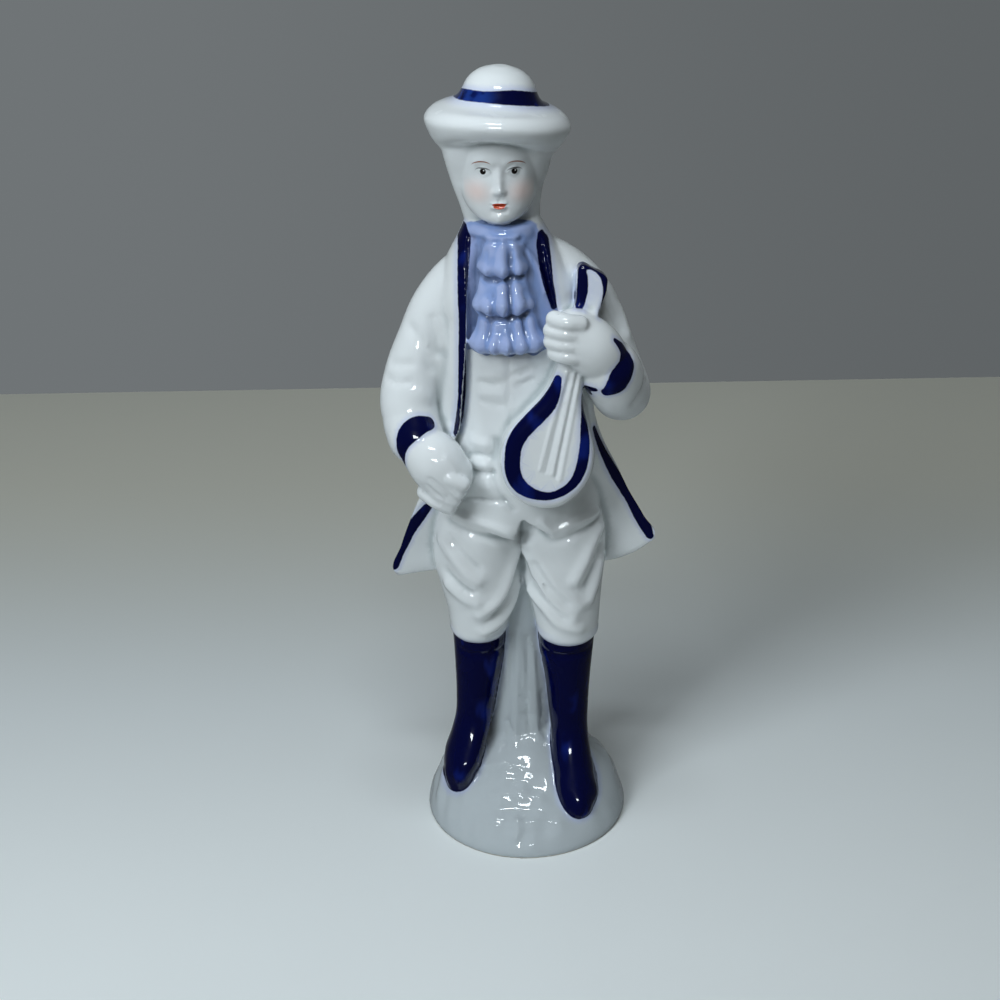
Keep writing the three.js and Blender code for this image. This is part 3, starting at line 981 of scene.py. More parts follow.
BREECHES_FOLDS = [
    (1.3, 2.2, [(-19.4, -7, 83.4), (-17.2, -9.5, 80), (-14.8, -10.2, 76.7), (-12, -10.4, 73.6)]),
    (-0.5, 1.3, [(-17.4, -8.6, 85), (-14.6, -10, 81), (-11.8, -10.4, 77.6)]),
    (1.1, 1.9, [(-18.8, -8, 71), (-15.8, -10.6, 68.4), (-12.5, -11.6, 66.9)]),
    (-0.6, 1.1, [(-18.8, -7.6, 75), (-16, -10, 72), (-13.4, -10.6, 70.4)]),
    (1.2, 1.8, [(0.2, -7, 81.2), (-3.1, -7.6, 74), (-6.2, -9.6, 67.1), (-11.3, -10.4, 63.3)]),
    (-0.6, 1.1, [(-1.6, -5.6, 75), (-4.4, -7, 68), (-7.8, -9.4, 62.6)]),
    (1.2, 1.7, [(-0.6, -4, 70.4), (-2.8, -5, 64.3), (-5.4, -7, 60.8), (-10.2, -9.1, 57.8)]),
    (1.2, 2.0, [(2.2, -8.6, 82), (5.6, -10.4, 75.8), (8.8, -11.4, 70.7), (13.8, -11.5, 66.3)]),
    (-0.6, 1.2, [(3.6, -9, 77), (6.6, -10.6, 71.4), (10.4, -11.4, 67)]),
    (1.2, 1.9, [(1.4, -8.3, 77.6), (4.1, -9.8, 71.4), (8, -12, 66.2), (12, -12, 63)]),
    (-0.6, 1.1, [(2.8, -8.6, 71.4), (6, -10.8, 66.6), (9.8, -11.8, 63.2)]),
    (1.1, 1.6, [(1.4, -6.1, 67.9), (5.1, -10.5, 64.4), (8.8, -11.9, 60.8), (13.8, -11.9, 59.4)]),
    (1.1, 1.8, [(19, -5.8, 85.8), (17.1, -8.7, 82.6), (15.1, -9.9, 78.2), (12.6, -10.9, 73.2)]),
    (-0.5, 1.2, [(19.4, -5.6, 81), (17.6, -8.4, 76.6), (15.2, -10, 71.6)]),
    (1.0, 1.6, [(19, -6.8, 76.5), (18, -7.7, 71.3), (16.4, -9.6, 66.6)]),
    (-0.5, 0.8, [(-18.2, -6, 49.8), (-14.2, -6.2, 49.4), (-9.1, -6, 49.3), (-5.2, -1, 49)]),
    (-0.5, 0.8, [(4.1, -5.4, 51), (6.3, -8.3, 50.4), (11.4, -9.9, 50.6), (17.4, -6, 51)]),
]

WAISTCOAT_FOLDS = [
    (-0.3, 0.5, [(-3.1, -11.2, 132.1), (-3.2, -11, 124.9), (-3.5, -11.3, 116)]),
    (0.35, 1.2, [(-9.4, -9.2, 128.3), (-5, -11, 129)]),
    (-0.3, 0.7, [(-9.6, -9.2, 126.6), (-7, -10, 126.2), (-4.6, -11, 126.8)]),
    (0.35, 1.2, [(-9.4, -8.9, 123.6), (-5, -11, 123.6)]),
    (-0.32, 0.7, [(-9.6, -8.9, 121.4), (-7, -10, 120.8), (-4.4, -11, 121)]),
    (0.3, 1.0, [(-1.8, -11.2, 130.6), (1.6, -10.8, 131.9)]),
    (-0.26, 0.6, [(-1.8, -11.2, 129), (1.6, -10.8, 130.2)]),
    (0.3, 1.0, [(-1.4, -11.1, 127.6), (2, -10.7, 128.9)]),
    (-0.26, 0.6, [(-1.2, -11.1, 125.8), (2, -10.7, 127)]),
    # pads that the fist pushes up, and the creases between them
    (0.7, 1.4, [(-11.4, -9, 110.6), (-8.6, -10.4, 110.4)]),
    (-0.6, 0.6, [(-12.9, -8.6, 107.4), (-10.9, -9.6, 107.9), (-8.6, -10.8, 107.4)]),
    (0.7, 1.3, [(-12, -9.4, 105.4), (-8.8, -11, 105.2)]),
    (-0.6, 0.6, [(-12.6, -9.8, 103.4), (-10.5, -10.5, 103.2), (-7.6, -11.5, 103.4)]),
    (0.5, 1.8, [(-10.6, -11, 100), (-8.4, -11.6, 99.6)]),
    (-0.6, 0.7, [(-15.1, -9.1, 95.6), (-10.7, -11.1, 96.3), (-4.6, -12.4, 95.9)]),
    (-0.8, 1.0, [(-6.8, -11, 111.9), (-7.6, -11.3, 105.4), (-6.5, -12.2, 99.1), (-2.6, -12.6, 94)]),
    # the band along the hem, and the crease under it
    (0.75, 1.2, [(-17.7, -8.2, 91.4), (-10.8, -11.2, 89.8), (-3.9, -12.4, 87.6)]),
    (0.75, 1.1, [(4.4, -12.2, 90.2), (7, -11.4, 87.7), (12.6, -10.5, 89), (18.5, -5.6, 89.8)]),
    (-0.8, 1.1, [(-18.6, -7, 88.6), (-10.9, -10.4, 86.2), (-3.4, -9, 83.6)]),
    (-0.8, 1.1, [(4.2, -10, 86.6), (6.8, -9.6, 84.2), (12.6, -9.4, 85.8), (19, -5.7, 87.4)]),
    (-0.7, 0.7, [(-1.7, -11.6, 86.4), (-0.5, -11.6, 91.5)]),
]

SLEEVE_FOLDS = [
    (-0.5, 1.3, [(-21.2, -5.9, 141.1), (-20.6, -6.3, 137.4), (-20.2, -6.2, 133)]),
    (0.4, 1.1, [(-19.2, -6.4, 140.6), (-18.8, -6.6, 135)]),
    (-0.6, 1.5, [(-26.3, -4.7, 138.6), (-24.6, -6.2, 136.7), (-22.8, -6.9, 133.9), (-21.8, -7.1, 129.3)]),
    (-0.35, 1.1, [(-30.4, -4.9, 129.8), (-28.6, -6.8, 130.3), (-26.6, -7.7, 130.6)]),
    (-0.4, 1.0, [(-31.8, -5.2, 126), (-29.7, -8.1, 126), (-27, -8.8, 126.4)]),
    (0.4, 1.7, [(-24.4, -8.4, 123.4), (-23, -8.2, 122.4)]),
    (-0.5, 1.8, [(-17.4, -7.2, 141), (-17.9, -7.3, 131.4), (-17.8, -7.6, 123.7), (-17.8, -7.3, 116)]),
    (-0.8, 1.4, [(19.9, -4.3, 145), (21.5, -4.8, 141.1), (23.5, -5.1, 137.4)]),
    (0.5, 1.5, [(24.4, -1.8, 141.6), (26, -3.6, 136.4)]),
    (-0.5, 1.1, [(28.4, -8, 130.8), (27.4, -11, 126.6), (25.2, -12.4, 122.8)]),
]

HAND_CREASES = [
    (-0.12, 0.5, [(6.6, -17.6, 143), (9.7, -19, 143), (12.8, -19, 142.4)]),
    (-0.12, 0.5, [(6.6, -17.3, 140.3), (9.7, -19.3, 140.3), (13, -19.6, 139.6)]),
    (-0.12, 0.5, [(6.8, -17.5, 137.5), (9.7, -19.3, 137.5), (13, -19.8, 136.8)]),
    (-0.35, 0.5, [(-22.2, -18.6, 105.6), (-20.1, -18.8, 103.6), (-17.6, -18.2, 101.1)]),
    (-0.35, 0.5, [(-23, -18, 103.4), (-21.1, -17.8, 101.5), (-18.9, -17.7, 99.6)]),
    (-0.35, 0.5, [(-23.8, -16, 100.6), (-22.2, -16.7, 99.1), (-20.6, -17.1, 98)]),
    (0.3, 0.9, [(-18.6, -17.3, 110), (-16.6, -17.4, 107)]),
]

JABOT_FOLDS = [
    (-0.5, 0.7, [(-11.7, -4.6, 160.9), (-8.6, -8.4, 161.2), (-4.8, -9.9, 161.4), (-0.1, -8.2, 161.1)]),
    # upper tier
    (0.7, 1.6, [(-5.6, -11.6, 158.4), (-5.2, -12.4, 156)]),
    (-0.4, 0.7, [(-2.2, -10.8, 159.4), (-2.4, -12.4, 157), (-2.2, -12.4, 154.6)]),
    (-0.4, 0.7, [(-7.6, -10.4, 159), (-7.8, -12, 156.6), (-7.6, -12.2, 154.6)]),
    (-0.6, 0.6, [(-9.6, -9.6, 154.2), (-6.6, -11.6, 152.7), (-3.4, -11.6, 153), (-0.4, -10.6, 153.8)]),
    # middle tier
    (0.5, 1.5, [(-9, -12, 150.4), (-8.8, -13.2, 147.4)]),
    (0.8, 1.7, [(-4.9, -13, 151), (-4.9, -14.4, 147.6)]),
    (0.5, 1.5, [(-0.7, -12, 150.4), (-0.4, -13.2, 147.6)]),
    (-0.4, 0.7, [(-7, -12, 152), (-7.2, -14, 148), (-6.9, -14, 145.4)]),
    (-0.4, 0.7, [(-2.7, -12, 152), (-2.7, -14, 148), (-2.7, -14, 145.4)]),
    (-0.6, 0.6, [(-10.6, -11, 145.6), (-7.4, -13, 143.7), (-3.8, -13.4, 143.8), (1.4, -11.4, 145.2)]),
    # lower tier
    (0.5, 1.2, [(-8.6, -12.4, 142.4), (-8.9, -13.6, 137)]),
    (0.6, 1.3, [(-4.9, -13, 142.6), (-4.9, -14.6, 137)]),
    (0.5, 1.2, [(-1.6, -13, 142.6), (-1.2, -14.6, 137)]),
    (0.5, 1.2, [(1.8, -12, 142.4), (2.3, -13.4, 137)]),
    (-0.4, 0.6, [(-6.8, -12.6, 143), (-7, -13.8, 136)]),
    (-0.4, 0.6, [(-3.2, -13.2, 143), (-3.2, -14.4, 136)]),
    (-0.4, 0.6, [(0.2, -12.6, 143), (0.6, -13.8, 136)]),
    # the cloth beside the tiers
    (0.5, 0.8, [(0.6, -8.4, 160.4), (3.6, -7.8, 154.9), (5.4, -8.2, 148.9)]),
    (-0.4, 0.7, [(-10.6, -6.4, 159), (-11, -8.3, 146.8), (-10.8, -8.9, 140.7)]),
]

LUTE_LINES = [
    (0.3, 0.4, [(10.2, -16.3, 131), (7, -18.2, 119.8), (3.8, -20.2, 108)]),
    (-0.3, 0.3, [(11.2, -16.2, 131), (8.2, -18.2, 119.4), (5.2, -20.2, 107.4)]),
    (0.35, 0.4, [(12.1, -16.2, 131), (9.4, -18.2, 119), (6.7, -20.2, 106.7)]),
    (-0.3, 0.3, [(12.8, -16.2, 131), (10.2, -18.2, 118.6), (7.6, -20.2, 106)]),
    (0.3, 0.4, [(13.5, -16.1, 130.4), (11.1, -18.4, 118), (8.6, -20.4, 105.4)]),
]

ROCK_LEDGES = [
    (0.45, 1.0, [(-12.3, -7.6, 16), (-7, -9, 17), (-2, -9.6, 16.8)]),
    (-0.4, 1.4, [(-12, -9.6, 14), (-6, -11.4, 14.6), (0, -12, 14.6)]),
    (0.45, 1.1, [(-9, -15, 11.9), (-3, -15.6, 12.4), (3.3, -16.4, 12)]),
    (-0.4, 1.4, [(-8, -18, 9.6), (-2, -18.4, 10), (4, -18.6, 9.6)]),
    (0.4, 1.0, [(-9, -20.2, 7.6), (0.5, -21.3, 7.6), (8.3, -21, 6.9)]),
    (0.5, 0.9, [(-2.6, -21.2, 7.8), (-2.4, -23, 6), (-3.2, -24.2, 4.6)]),
    (0.5, 1.6, [(19, 4, 13), (21.6, 0, 9.6)]),
    (0.5, 1.6, [(-20, -2, 12), (-23, -6, 7)]),
    (0.5, 1.8, [(8, 17, 13), (2, 19, 12)]),
    (0.5, 1.8, [(-10, 16, 13), (-15, 15, 10)]),
]

STUMP_BARK = [
    (-0.35, 0.6, [(-3.6, -2, 52), (-4.2, -2.3, 40), (-4.8, -2.6, 28), (-5.5, -3.6, 20)]),
    (0.3, 0.7, [(-1.6, -2.3, 54), (-2, -2.5, 42), (-2.4, -2.8, 30), (-2.6, -3.8, 20)]),
    (-0.35, 0.55, [(0.6, -2.3, 52), (0.5, -2.5, 38), (0.9, -3, 24)]),
    (0.3, 0.7, [(2.4, -2.3, 48), (2.8, -2.5, 34), (3.4, -3.2, 22)]),
    (-0.3, 0.6, [(4.4, -1.8, 46), (4.9, -2, 32), (5.6, -3, 21)]),
    (-0.5, 0.6, [(-5, -2.6, 26.2), (-3.9, -2.8, 24.2)]),
    (-0.4, 0.5, [(-1.4, -2.8, 34), (0.4, -2.8, 33)]),
    (-0.35, 0.5, [(-0.5, -3, 29), (1.3, -3, 28.4)]),
]

COAT_BACK = [
    (-0.8, 0.8, [(-1.4, 10.4, 104), (-0.8, 11.4, 90), (0, 12.6, 71)]),
    (0.5, 1.2, [(-3.4, 10.4, 102), (-3.6, 11.4, 88), (-3.6, 12.4, 71)]),
    (0.6, 2.0, [(-9, 10, 98), (-12, 10, 85), (-15, 11, 71)]),
    (-0.5, 1.6, [(-5.6, 10.2, 100), (-7.6, 11, 86), (-9.4, 12, 71)]),
    (0.6, 2.0, [(6.6, 10, 98), (10, 10, 85), (14, 11, 72)]),
    (-0.5, 1.6, [(2.8, 10.4, 100), (5, 11, 86), (7.6, 12, 71)]),
    (-0.3, 0.5, [(-21, 4, 105.4), (-12, 9.6, 105), (-1.4, 10.2, 104.6), (10, 9.6, 105), (19, 4, 105.4)]),
]


def round_skirt(piece, middle, radius):
    """Rounds the lower corner of the coat's left skirt about a middle point, given by its x and z."""
    points = points_of(piece)
    away = points[:, ::2] / MM - middle
    far = np.hypot(*away.T)
    corner = (away < 0).all(axis=1) & (far > radius)
    kept = (radius + 0.1 * (far - radius)) / np.maximum(far, radius)
    points[corner, ::2] = (np.array(middle) + away * kept[:, None])[corner] * MM
    move_points(piece, points)


def between(values, low, high, rise, fall):
    """1 where values lie well between low and high, sinking to 0 at both over the widths given."""
    return np.clip((values - low) / rise, 0, 1) * np.clip((high - values) / fall, 0, 1)


def flutes(piece):
    """Bark on the stump, strands in the hair behind, and uneven rock."""
    points = points_of(piece) / MM
    normals = normals_of(piece)
    x, y, z = points.T
    turn = np.arctan2(x + 0.5, -(y - 3.5))
    open_bark = between(z, 17, 52, 4, 4) * np.clip(9.6 - np.hypot(x + 0.5, y - 3.5), 0, 1)
    bark = 0.13 * np.sin(7 * turn + 1.6 * np.sin(z * 0.17)) + 0.05 * np.sin(15 * turn + z * 0.31)
    behind = np.clip((y - 3) / 4, 0, 1) * between(z, 160, 183, 4, 3)
    strands = 0.22 * np.sin(15 * np.arctan2(x + 4.8, y) + 0.9 * np.sin(z * 0.22))
    rock = 0.22 * np.sin(0.55 * x + 0.9 * np.sin(0.4 * y)) * np.sin(0.5 * y + 0.33 * z + 1.2)
    rock += 0.12 * np.sin(1.1 * x - 0.7 * y + 0.4 * z)
    moved = bark * open_bark + strands * behind + rock * between(z, 1.5, 19, 3, 3)
    move_points(piece, (points + normals * moved[:, None]) * MM)


def refine_face(piece):
    """Halves the faces of the mesh over the face, for finer features."""
    select_only(piece)
    points = points_of(piece) / MM
    x, y, z = points.T
    there = (np.abs(x - FACE_MIDDLE) < 8.6) & (y < -7) & (z > 164.5) & (z < 182)
    bpy.ops.object.mode_set(mode="EDIT")
    bpy.ops.mesh.select_mode(type="VERT")
    bpy.ops.mesh.select_all(action="DESELECT")
    bpy.ops.object.mode_set(mode="OBJECT")
    piece.data.vertices.foreach_set("select", there)
    bpy.ops.object.mode_set(mode="EDIT")
    bpy.ops.mesh.select_mode(type="FACE")
    bpy.ops.mesh.subdivide(number_cuts=1)
    bpy.ops.mesh.select_all(action="DESELECT")
    bpy.ops.object.mode_set(mode="OBJECT")


def carve_face(piece):
    """A calm, regular face on the egg of the head: brow, sockets, lids, nose, lips, chin and cheeks."""
    x = FACE_MIDDLE
    front = -10.2
    mouth = MOUTH_LEVEL
    strokes = [
        (0.35, 2.0, [(x, front, EYE_LEVEL - 1), (x, front, NOSE_BASE + 1.4)]),
        (0.5, 0.95, [(x, front, EYE_LEVEL + 0.2), (x, front, NOSE_BASE + 1)]),
        (0.3, 1.0, [(x, front, EYE_LEVEL - 2.4), (x, front, NOSE_BASE + 1.2)]),
        (0.5, 0.95, [(x, front, NOSE_BASE + 1.5), (x, front, NOSE_BASE + 1)]),
        (-0.22, 0.8, [(x - 0.4, front, EYE_LEVEL + 0.8), (x + 0.4, front, EYE_LEVEL + 0.8)]),
        (0.42, 1.5, [(x, front, 166.8), (x, front, 166.4)]),
        (-0.3, 0.7, [(x - 1.4, front, mouth - 1.4), (x, front, mouth - 1.6), (x + 1.4, front, mouth - 1.4)]),
        (0.34, 0.5, [(x - 1.5, front, mouth + 0.35), (x - 0.5, front, mouth + 0.6), (x, front, mouth + 0.5),
                     (x + 0.5, front, mouth + 0.6), (x + 1.5, front, mouth + 0.35)]),
        (0.36, 0.55, [(x - 1.1, front, mouth - 0.4), (x, front, mouth - 0.7), (x + 1.1, front, mouth - 0.4)]),
        (-0.34, 0.3, [(x - 1.8, front, mouth + 0.2), (x, front, mouth), (x + 1.8, front, mouth + 0.2)]),
        (-0.12, 0.4, [(x, front, NOSE_BASE - 0.4), (x, front, mouth + 1)]),
    ]
    for side in (-1, 1):
        eye = x + side * EYE_APART
        strokes += [
            (-0.5, 1.5, [(eye - side * 1.2, front, EYE_LEVEL + 0.1), (eye + side * 1.1, front, EYE_LEVEL)]),
            (0.34, 1.0, [(eye - 0.4, front, EYE_LEVEL), (eye + 0.4, front, EYE_LEVEL)]),
            (0.22, 0.35, [(eye - side * 1.5, front, EYE_LEVEL), (eye, front, EYE_LEVEL + 0.95),
                          (eye + side * 1.6, front, EYE_LEVEL + 0.1)]),
            (0.12, 0.35, [(eye - side * 1.3, front, EYE_LEVEL - 0.4), (eye, front, EYE_LEVEL - 0.9),
                          (eye + side * 1.4, front, EYE_LEVEL - 0.4)]),
            (0.24, 0.9, [(x + side * 1.8, front, EYE_LEVEL + 2), (eye, front, EYE_LEVEL + 2.6),
                         (x + side * 6, front, EYE_LEVEL + 1.9)]),
            (0.32, 0.7, [(x + side * 1.0, front, NOSE_BASE + 0.8)]),
            (-0.2, 0.3, [(x + side * 0.55, front - 0.5, NOSE_BASE - 0.1)]),
            (0.3, 2.2, [(x + side * 4.9, front, 172.8), (x + side * 5, front, 173.6)]),
        ]
    press(piece, strokes)


def spread(piece, values, rounds):
    """Each point's value averaged with its neighbours', round after round."""
    edges = np.empty(len(piece.data.edges) * 2, np.int64)
    piece.data.edges.foreach_get("vertices", edges)
    ends, others = edges.reshape(-1, 2).T
    count = np.bincount(edges, minlength=len(values))
    for _ in range(rounds):
        total = np.bincount(ends, values[others], len(values))
        values = (total + np.bincount(others, values[ends], len(values))) / count
    return values


def hollows(piece):
    """How deep each point lies: about 1 in a crease, 0 on open surface, -1 on a sharp ridge."""
    points = points_of(piece) / MM
    smooth = np.column_stack([spread(piece, column, 30) for column in points.T])
    depth = np.einsum("ij,ij->i", smooth - points, normals_of(piece))
    return np.clip(spread(piece, depth, 8) / 0.4, -1, 1)


# Paint

FAR = 3.0  # how far off a form or a stroke of paint still counts, in millimetres


def paint_field(strokes, tree, points, seen_from_front=False):
    """For each point, how far it lies outside the nearest stroke of paint, in millimetres. A stroke is
    a line of places with its half width at each. Seen from the front, depth doesn't count."""
    field = np.full(len(points), FAR)
    for places in strokes:
        line = faired_line(places, 0.4)
        line = line * (1, 0, 1, 1) if seen_from_front else on_surface(line, tree)
        seen = points * (1, 0, 1) if seen_from_front else points
        close = near(seen, line, line[:, 3].max() + FAR)
        away, width = distance_to(seen[close], line)
        field[close] = np.minimum(field[close], away - width)
    if seen_from_front:
        field = np.maximum(field, points[:, 1])
    return field


COBALT_LINES = [
    # skirts
    [(-23.8, -3.9, 90, 1.2), (-26.1, -3.7, 87, 1.5), (-28.3, -3.6, 84, 1.55), (-30.3, -3.8, 80.6, 1.55),
     (-31.7, -3.7, 77.2, 1.4), (-32.5, -4.1, 74, 1.1)],
    [(17.7, -3.8, 111.4, 0.7), (18.9, -3.9, 108.2, 0.95), (21, -4.1, 102.9, 1.1), (23.6, -4.1, 97.4, 1.3),
     (26.7, -3.8, 91.7, 1.4), (29.2, -4, 86.1, 1.5), (30.6, -4.1, 83.4, 1.4), (31.5, -4.2, 81.2, 1.0)],
    # cuffs
    [(-28.5, -13.3, 107.3, 0.6), (-29.1, -13.8, 110.9, 1.3), (-27.6, -13.8, 115, 2.5),
     (-25.1, -13, 116.8, 2.5), (-22.6, -11.6, 116.8, 1.7)],
    [(21.3, -16.5, 139.1, 0.6), (23.3, -15.5, 136.1, 1.6), (24.1, -16.3, 133.4, 2.3), (23, -17.7, 130.8, 2.8),
     (21.4, -18, 128.4, 2.4), (19.7, -17.6, 127, 1.3)],
    # the lute's edge, and the neck above it
    [(8.1, -16.2, 129.4, 1.2), (7.3, -16.8, 126.9, 1.7), (5.9, -17.4, 124.3, 2.2), (3.7, -17.9, 121.8, 2.3),
     (1.4, -18.4, 119.5, 2.2), (-0.9, -19, 116.9, 2.1), (-2.3, -19.5, 114.1, 2), (-2.7, -19.9, 111.2, 1.9),
     (-2.7, -20.4, 108.2, 1.9), (-1.9, -20.8, 105.5, 1.85), (0.2, -21, 103.2, 1.6), (3, -21.1, 101.9, 1.2),
     (5.9, -21.1, 101.5, 1), (9.3, -20.7, 102.5, 1), (11.8, -20.4, 104.5, 1.15), (13.5, -19.8, 107.7, 1.3),
     (14.3, -19.2, 111.3, 1.3), (14.6, -18.5, 114.9, 1.2), (14.5, -17.6, 118.4, 1.1), (15.2, -16, 123, 0.95),
     (15, -14.3, 126.7, 0.9)],
    [(15, -14.3, 126.7, 0.9), (16.1, -15.9, 127.1, 0.8), (17.2, -16.9, 127.3, 0.6)],
]

# Strokes that run over steps in the surface, drawn as they are seen from the front
COAT_EDGES = [
    [(-13.1, 0, 162.9, 0.7), (-13.1, 0, 161.4, 1.4), (-13.2, 0, 158.3, 1.45), (-13.5, 0, 154, 1.3),
     (-13.8, 0, 148.4, 1.05), (-13.9, 0, 142.4, 0.85), (-14.1, 0, 136.3, 0.85), (-14.3, 0, 128.4, 0.9),
     (-14.6, 0, 121.7, 0.9), (-15.3, 0, 116.1, 0.9), (-16, 0, 112.4, 0.8)],
    [(4.8, 0, 161.3, 0.8), (5.1, 0, 159.9, 1.4), (5.4, 0, 157.6, 1.5), (5.8, 0, 154.5, 1.45),
     (6.3, 0, 151, 1.25), (7, 0, 148, 1.05), (7.7, 0, 144.7, 0.75)],
]

PEG_BOX_EDGES = [
    [(14, 0, 155.3, 0.8), (14.3, 0, 152.7, 1.15), (14.2, 0, 149.6, 1.3), (13.6, 0, 146.6, 1.2)],
    [(14, 0, 155.3, 0.8), (16.4, 0, 155, 0.8), (18.9, 0, 153.3, 0.9), (20.1, 0, 149.8, 1.1),
     (19.7, 0, 146, 1.1), (18.6, 0, 142.6, 0.9)],
]


def hat_band(points):
    """How far each point lies outside the band round the foot of the hat's crown."""
    low = Matrix.Rotation(-HAT_TILT, 3, "Y")
    inside = (points - (*HAT_MIDDLE, HAT_LEVEL)) @ np.array(low).T
    turn = np.arctan2(inside[:, 0], -inside[:, 1])
    middle = 6.3 + 1.7 * np.cos(turn) + 0.1 * np.sin(3 * turn)
    half = 1.35 + 0.25 * np.sin(turn) + 0.08 * np.sin(4 * turn)
    return np.abs(inside[:, 2] - middle) - half


def away_from(tree, points):
    """How far each point lies from the forms in a tree, but no more than FAR."""
    found = [tree.find_nearest(point, FAR)[3] for point in points]
    return np.array([FAR if away is None else away for away in found])


def painted_fields(piece):
    """How far each point lies outside the cobalt, the neckcloth's wash, and the mound and stump, in
    millimetres, and how far it lies from each group of forms."""
    points = points_of(piece) / MM
    faces = [tuple(face.vertices) for face in piece.data.polygons]
    tree = BVHTree.FromPolygons(points.tolist(), faces)
    away = {name: away_from(tree_of(group), points) for name, group in FORMS.items()}

    def only(name):
        """How far each point lies outside the part of the surface that one group of forms makes."""
        others = [away[other] for other in away if other != name]
        return away[name] - np.min(others, axis=0)

    pegs = paint_field(PEG_BOX_EDGES, tree, points, seen_from_front=True)
    cobalt = np.minimum(paint_field(COBALT_LINES, tree, points), np.maximum(pegs, only("lute")))
    edges = paint_field(COAT_EDGES, tree, points, seen_from_front=True)
    turned_in = (normals_of(piece)[:, 1] > -0.3) & (points[:, 2] < 138)
    edges = np.where(turned_in, FAR, edges)
    cobalt = np.minimum(cobalt, np.maximum(edges, -only("hands")))
    cobalt = np.minimum(cobalt, only("boots"))
    cobalt = np.minimum(cobalt, np.maximum(hat_band(points), only("hat")))
    hem = CLOTH_HEM + 0.6 * np.cos(points[:, 0] * 1.1)
    panel = np.maximum(only("waistcoat"), hem - points[:, 2])
    wash = np.minimum(only("neckcloth"), panel) - 0.3
    return cobalt, wash, only("ground"), away


def thin_out(piece, most_triangles):
    """Joins points until few enough triangles are left: twice as fine at the face, the hands, the
    neckcloth, the lute and the edges of the paint as on the rest."""
    points = points_of(piece) / MM
    cobalt, wash, _, away = painted_fields(piece)
    fine = np.minimum(np.abs(cobalt), np.abs(wash)) < 0.7
    detailed = np.min([away[name] for name in ("hands", "lute", "neckcloth")], axis=0) < 0.6
    face_here = (away["head"] < 1.5) & (points[:, 1] < -5) & (points[:, 2] < 184)
    plainness = np.full(len(points), 0.6)
    plainness[detailed] = 0.3
    plainness[fine | face_here] = 0.0
    group = piece.vertex_groups.new(name="plain")
    for value in np.unique(plainness):
        group.add(np.flatnonzero(plainness == value).tolist(), float(value), "REPLACE")
    triangles = sum(len(face.vertices) - 2 for face in piece.data.polygons)
    apply_modifier(
        piece,
        "DECIMATE",
        ratio=most_triangles / triangles,
        vertex_group="plain",
        vertex_group_factor=0.001,
    )
    piece.vertex_groups.clear()


def store(piece, name, values):
    """Keeps one number a point on the mesh, for the glaze to read."""
    attribute = piece.data.attributes.new(name, "FLOAT", "POINT")
    attribute.data.foreach_set("value", values.astype(np.float32))


# Glaze and other surfaces


class NodeDesk:
    """Short ways to add shader nodes to one material."""

    def __init__(self, material):
        self.tree = material.node_tree
        self.nodes = self.tree.nodes

    def feed(self, socket, value):
        """Links a socket to another, or sets its value."""
        if isinstance(value, bpy.types.NodeSocket):
            self.tree.links.new(value, socket)
        else:
            socket.default_value = value

    def maths(self, operation, first, second):
        """Two numbers added, multiplied or the like."""
        node = self.nodes.new("ShaderNodeMath")
        node.operation = operation
        self.feed(node.inputs[0], first)
        self.feed(node.inputs[1], second)
        return node.outputs[0]

    def ramp(self, value, start, end, low=0.0, high=1.0):
        """A smooth step from low at start to high at end."""
        node = self.nodes.new("ShaderNodeMapRange")
        node.interpolation_type = "SMOOTHSTEP"
        for socket, given in zip(node.inputs, (value, start, end, low, high)):
            self.feed(socket, given)
        return node.outputs[0]

    def blend(self, share, first, second):
        """Two colours mixed: the first where the share is 0, the second where it is 1."""
        node = self.nodes.new("ShaderNodeMix")
        node.data_type = "RGBA"
        self.feed(node.inputs[0], share)
        for socket, given in ((node.inputs[6], first), (node.inputs[7], second)):
            self.feed(socket, given if isinstance(given, bpy.types.NodeSocket) else (*given, 1))
        return node.outputs[2]

    def noise(self, scale, stretch=(1, 1, 1)):
        """Noise on object coordinates, scale counted per metre."""
        mapping = self.nodes.new("ShaderNodeMapping")
        mapping.inputs["Scale"].default_value = stretch
        self.feed(mapping.inputs["Vector"], self.places())
        node = self.nodes.new("ShaderNodeTexNoise")
        node.inputs["Scale"].default_value = scale
        self.feed(node.inputs["Vector"], mapping.outputs[0])
        return node.outputs[0]

    def places(self):
        """Object coordinates."""
        if "Places" not in self.nodes:
            self.nodes.new("ShaderNodeTexCoord").name = "Places"
        return self.nodes["Places"].outputs["Object"]

    def attribute(self, name):
        """The numbers stored on the mesh under a name."""
        node = self.nodes.new("ShaderNodeAttribute")
        node.attribute_name = name
        return node.outputs["Fac"]

    def disc(self, x, z, half_wide, half_high, turn=0.0, soft=0.12):
        """1 inside an oval seen from the front, 0 outside it, with an edge as soft as that share."""
        mapping = self.nodes.new("ShaderNodeMapping")
        mapping.vector_type = "TEXTURE"
        mapping.inputs["Location"].default_value = (x * MM, 0, z * MM)
        mapping.inputs["Rotation"].default_value = (0, turn, 0)
        mapping.inputs["Scale"].default_value = (half_wide * MM, 1000, half_high * MM)
        self.feed(mapping.inputs["Vector"], self.places())
        length = self.nodes.new("ShaderNodeVectorMath")
        length.operation = "LENGTH"
        self.feed(length.inputs[0], mapping.outputs[0])
        return self.ramp(length.outputs["Value"], 1 + soft, 1 - soft)

    def both(self, first, second):
        """Where two shares hold at once."""
        return self.maths("MULTIPLY", first, second)

    def either(self, first, second):
        """Where at least one of two shares holds."""
        return self.maths("MAXIMUM", first, second)

    def without(self, first, second):
        """Where the first share holds and the second doesn't."""
        return self.maths("MULTIPLY", first, self.maths("SUBTRACT", 1.0, second))


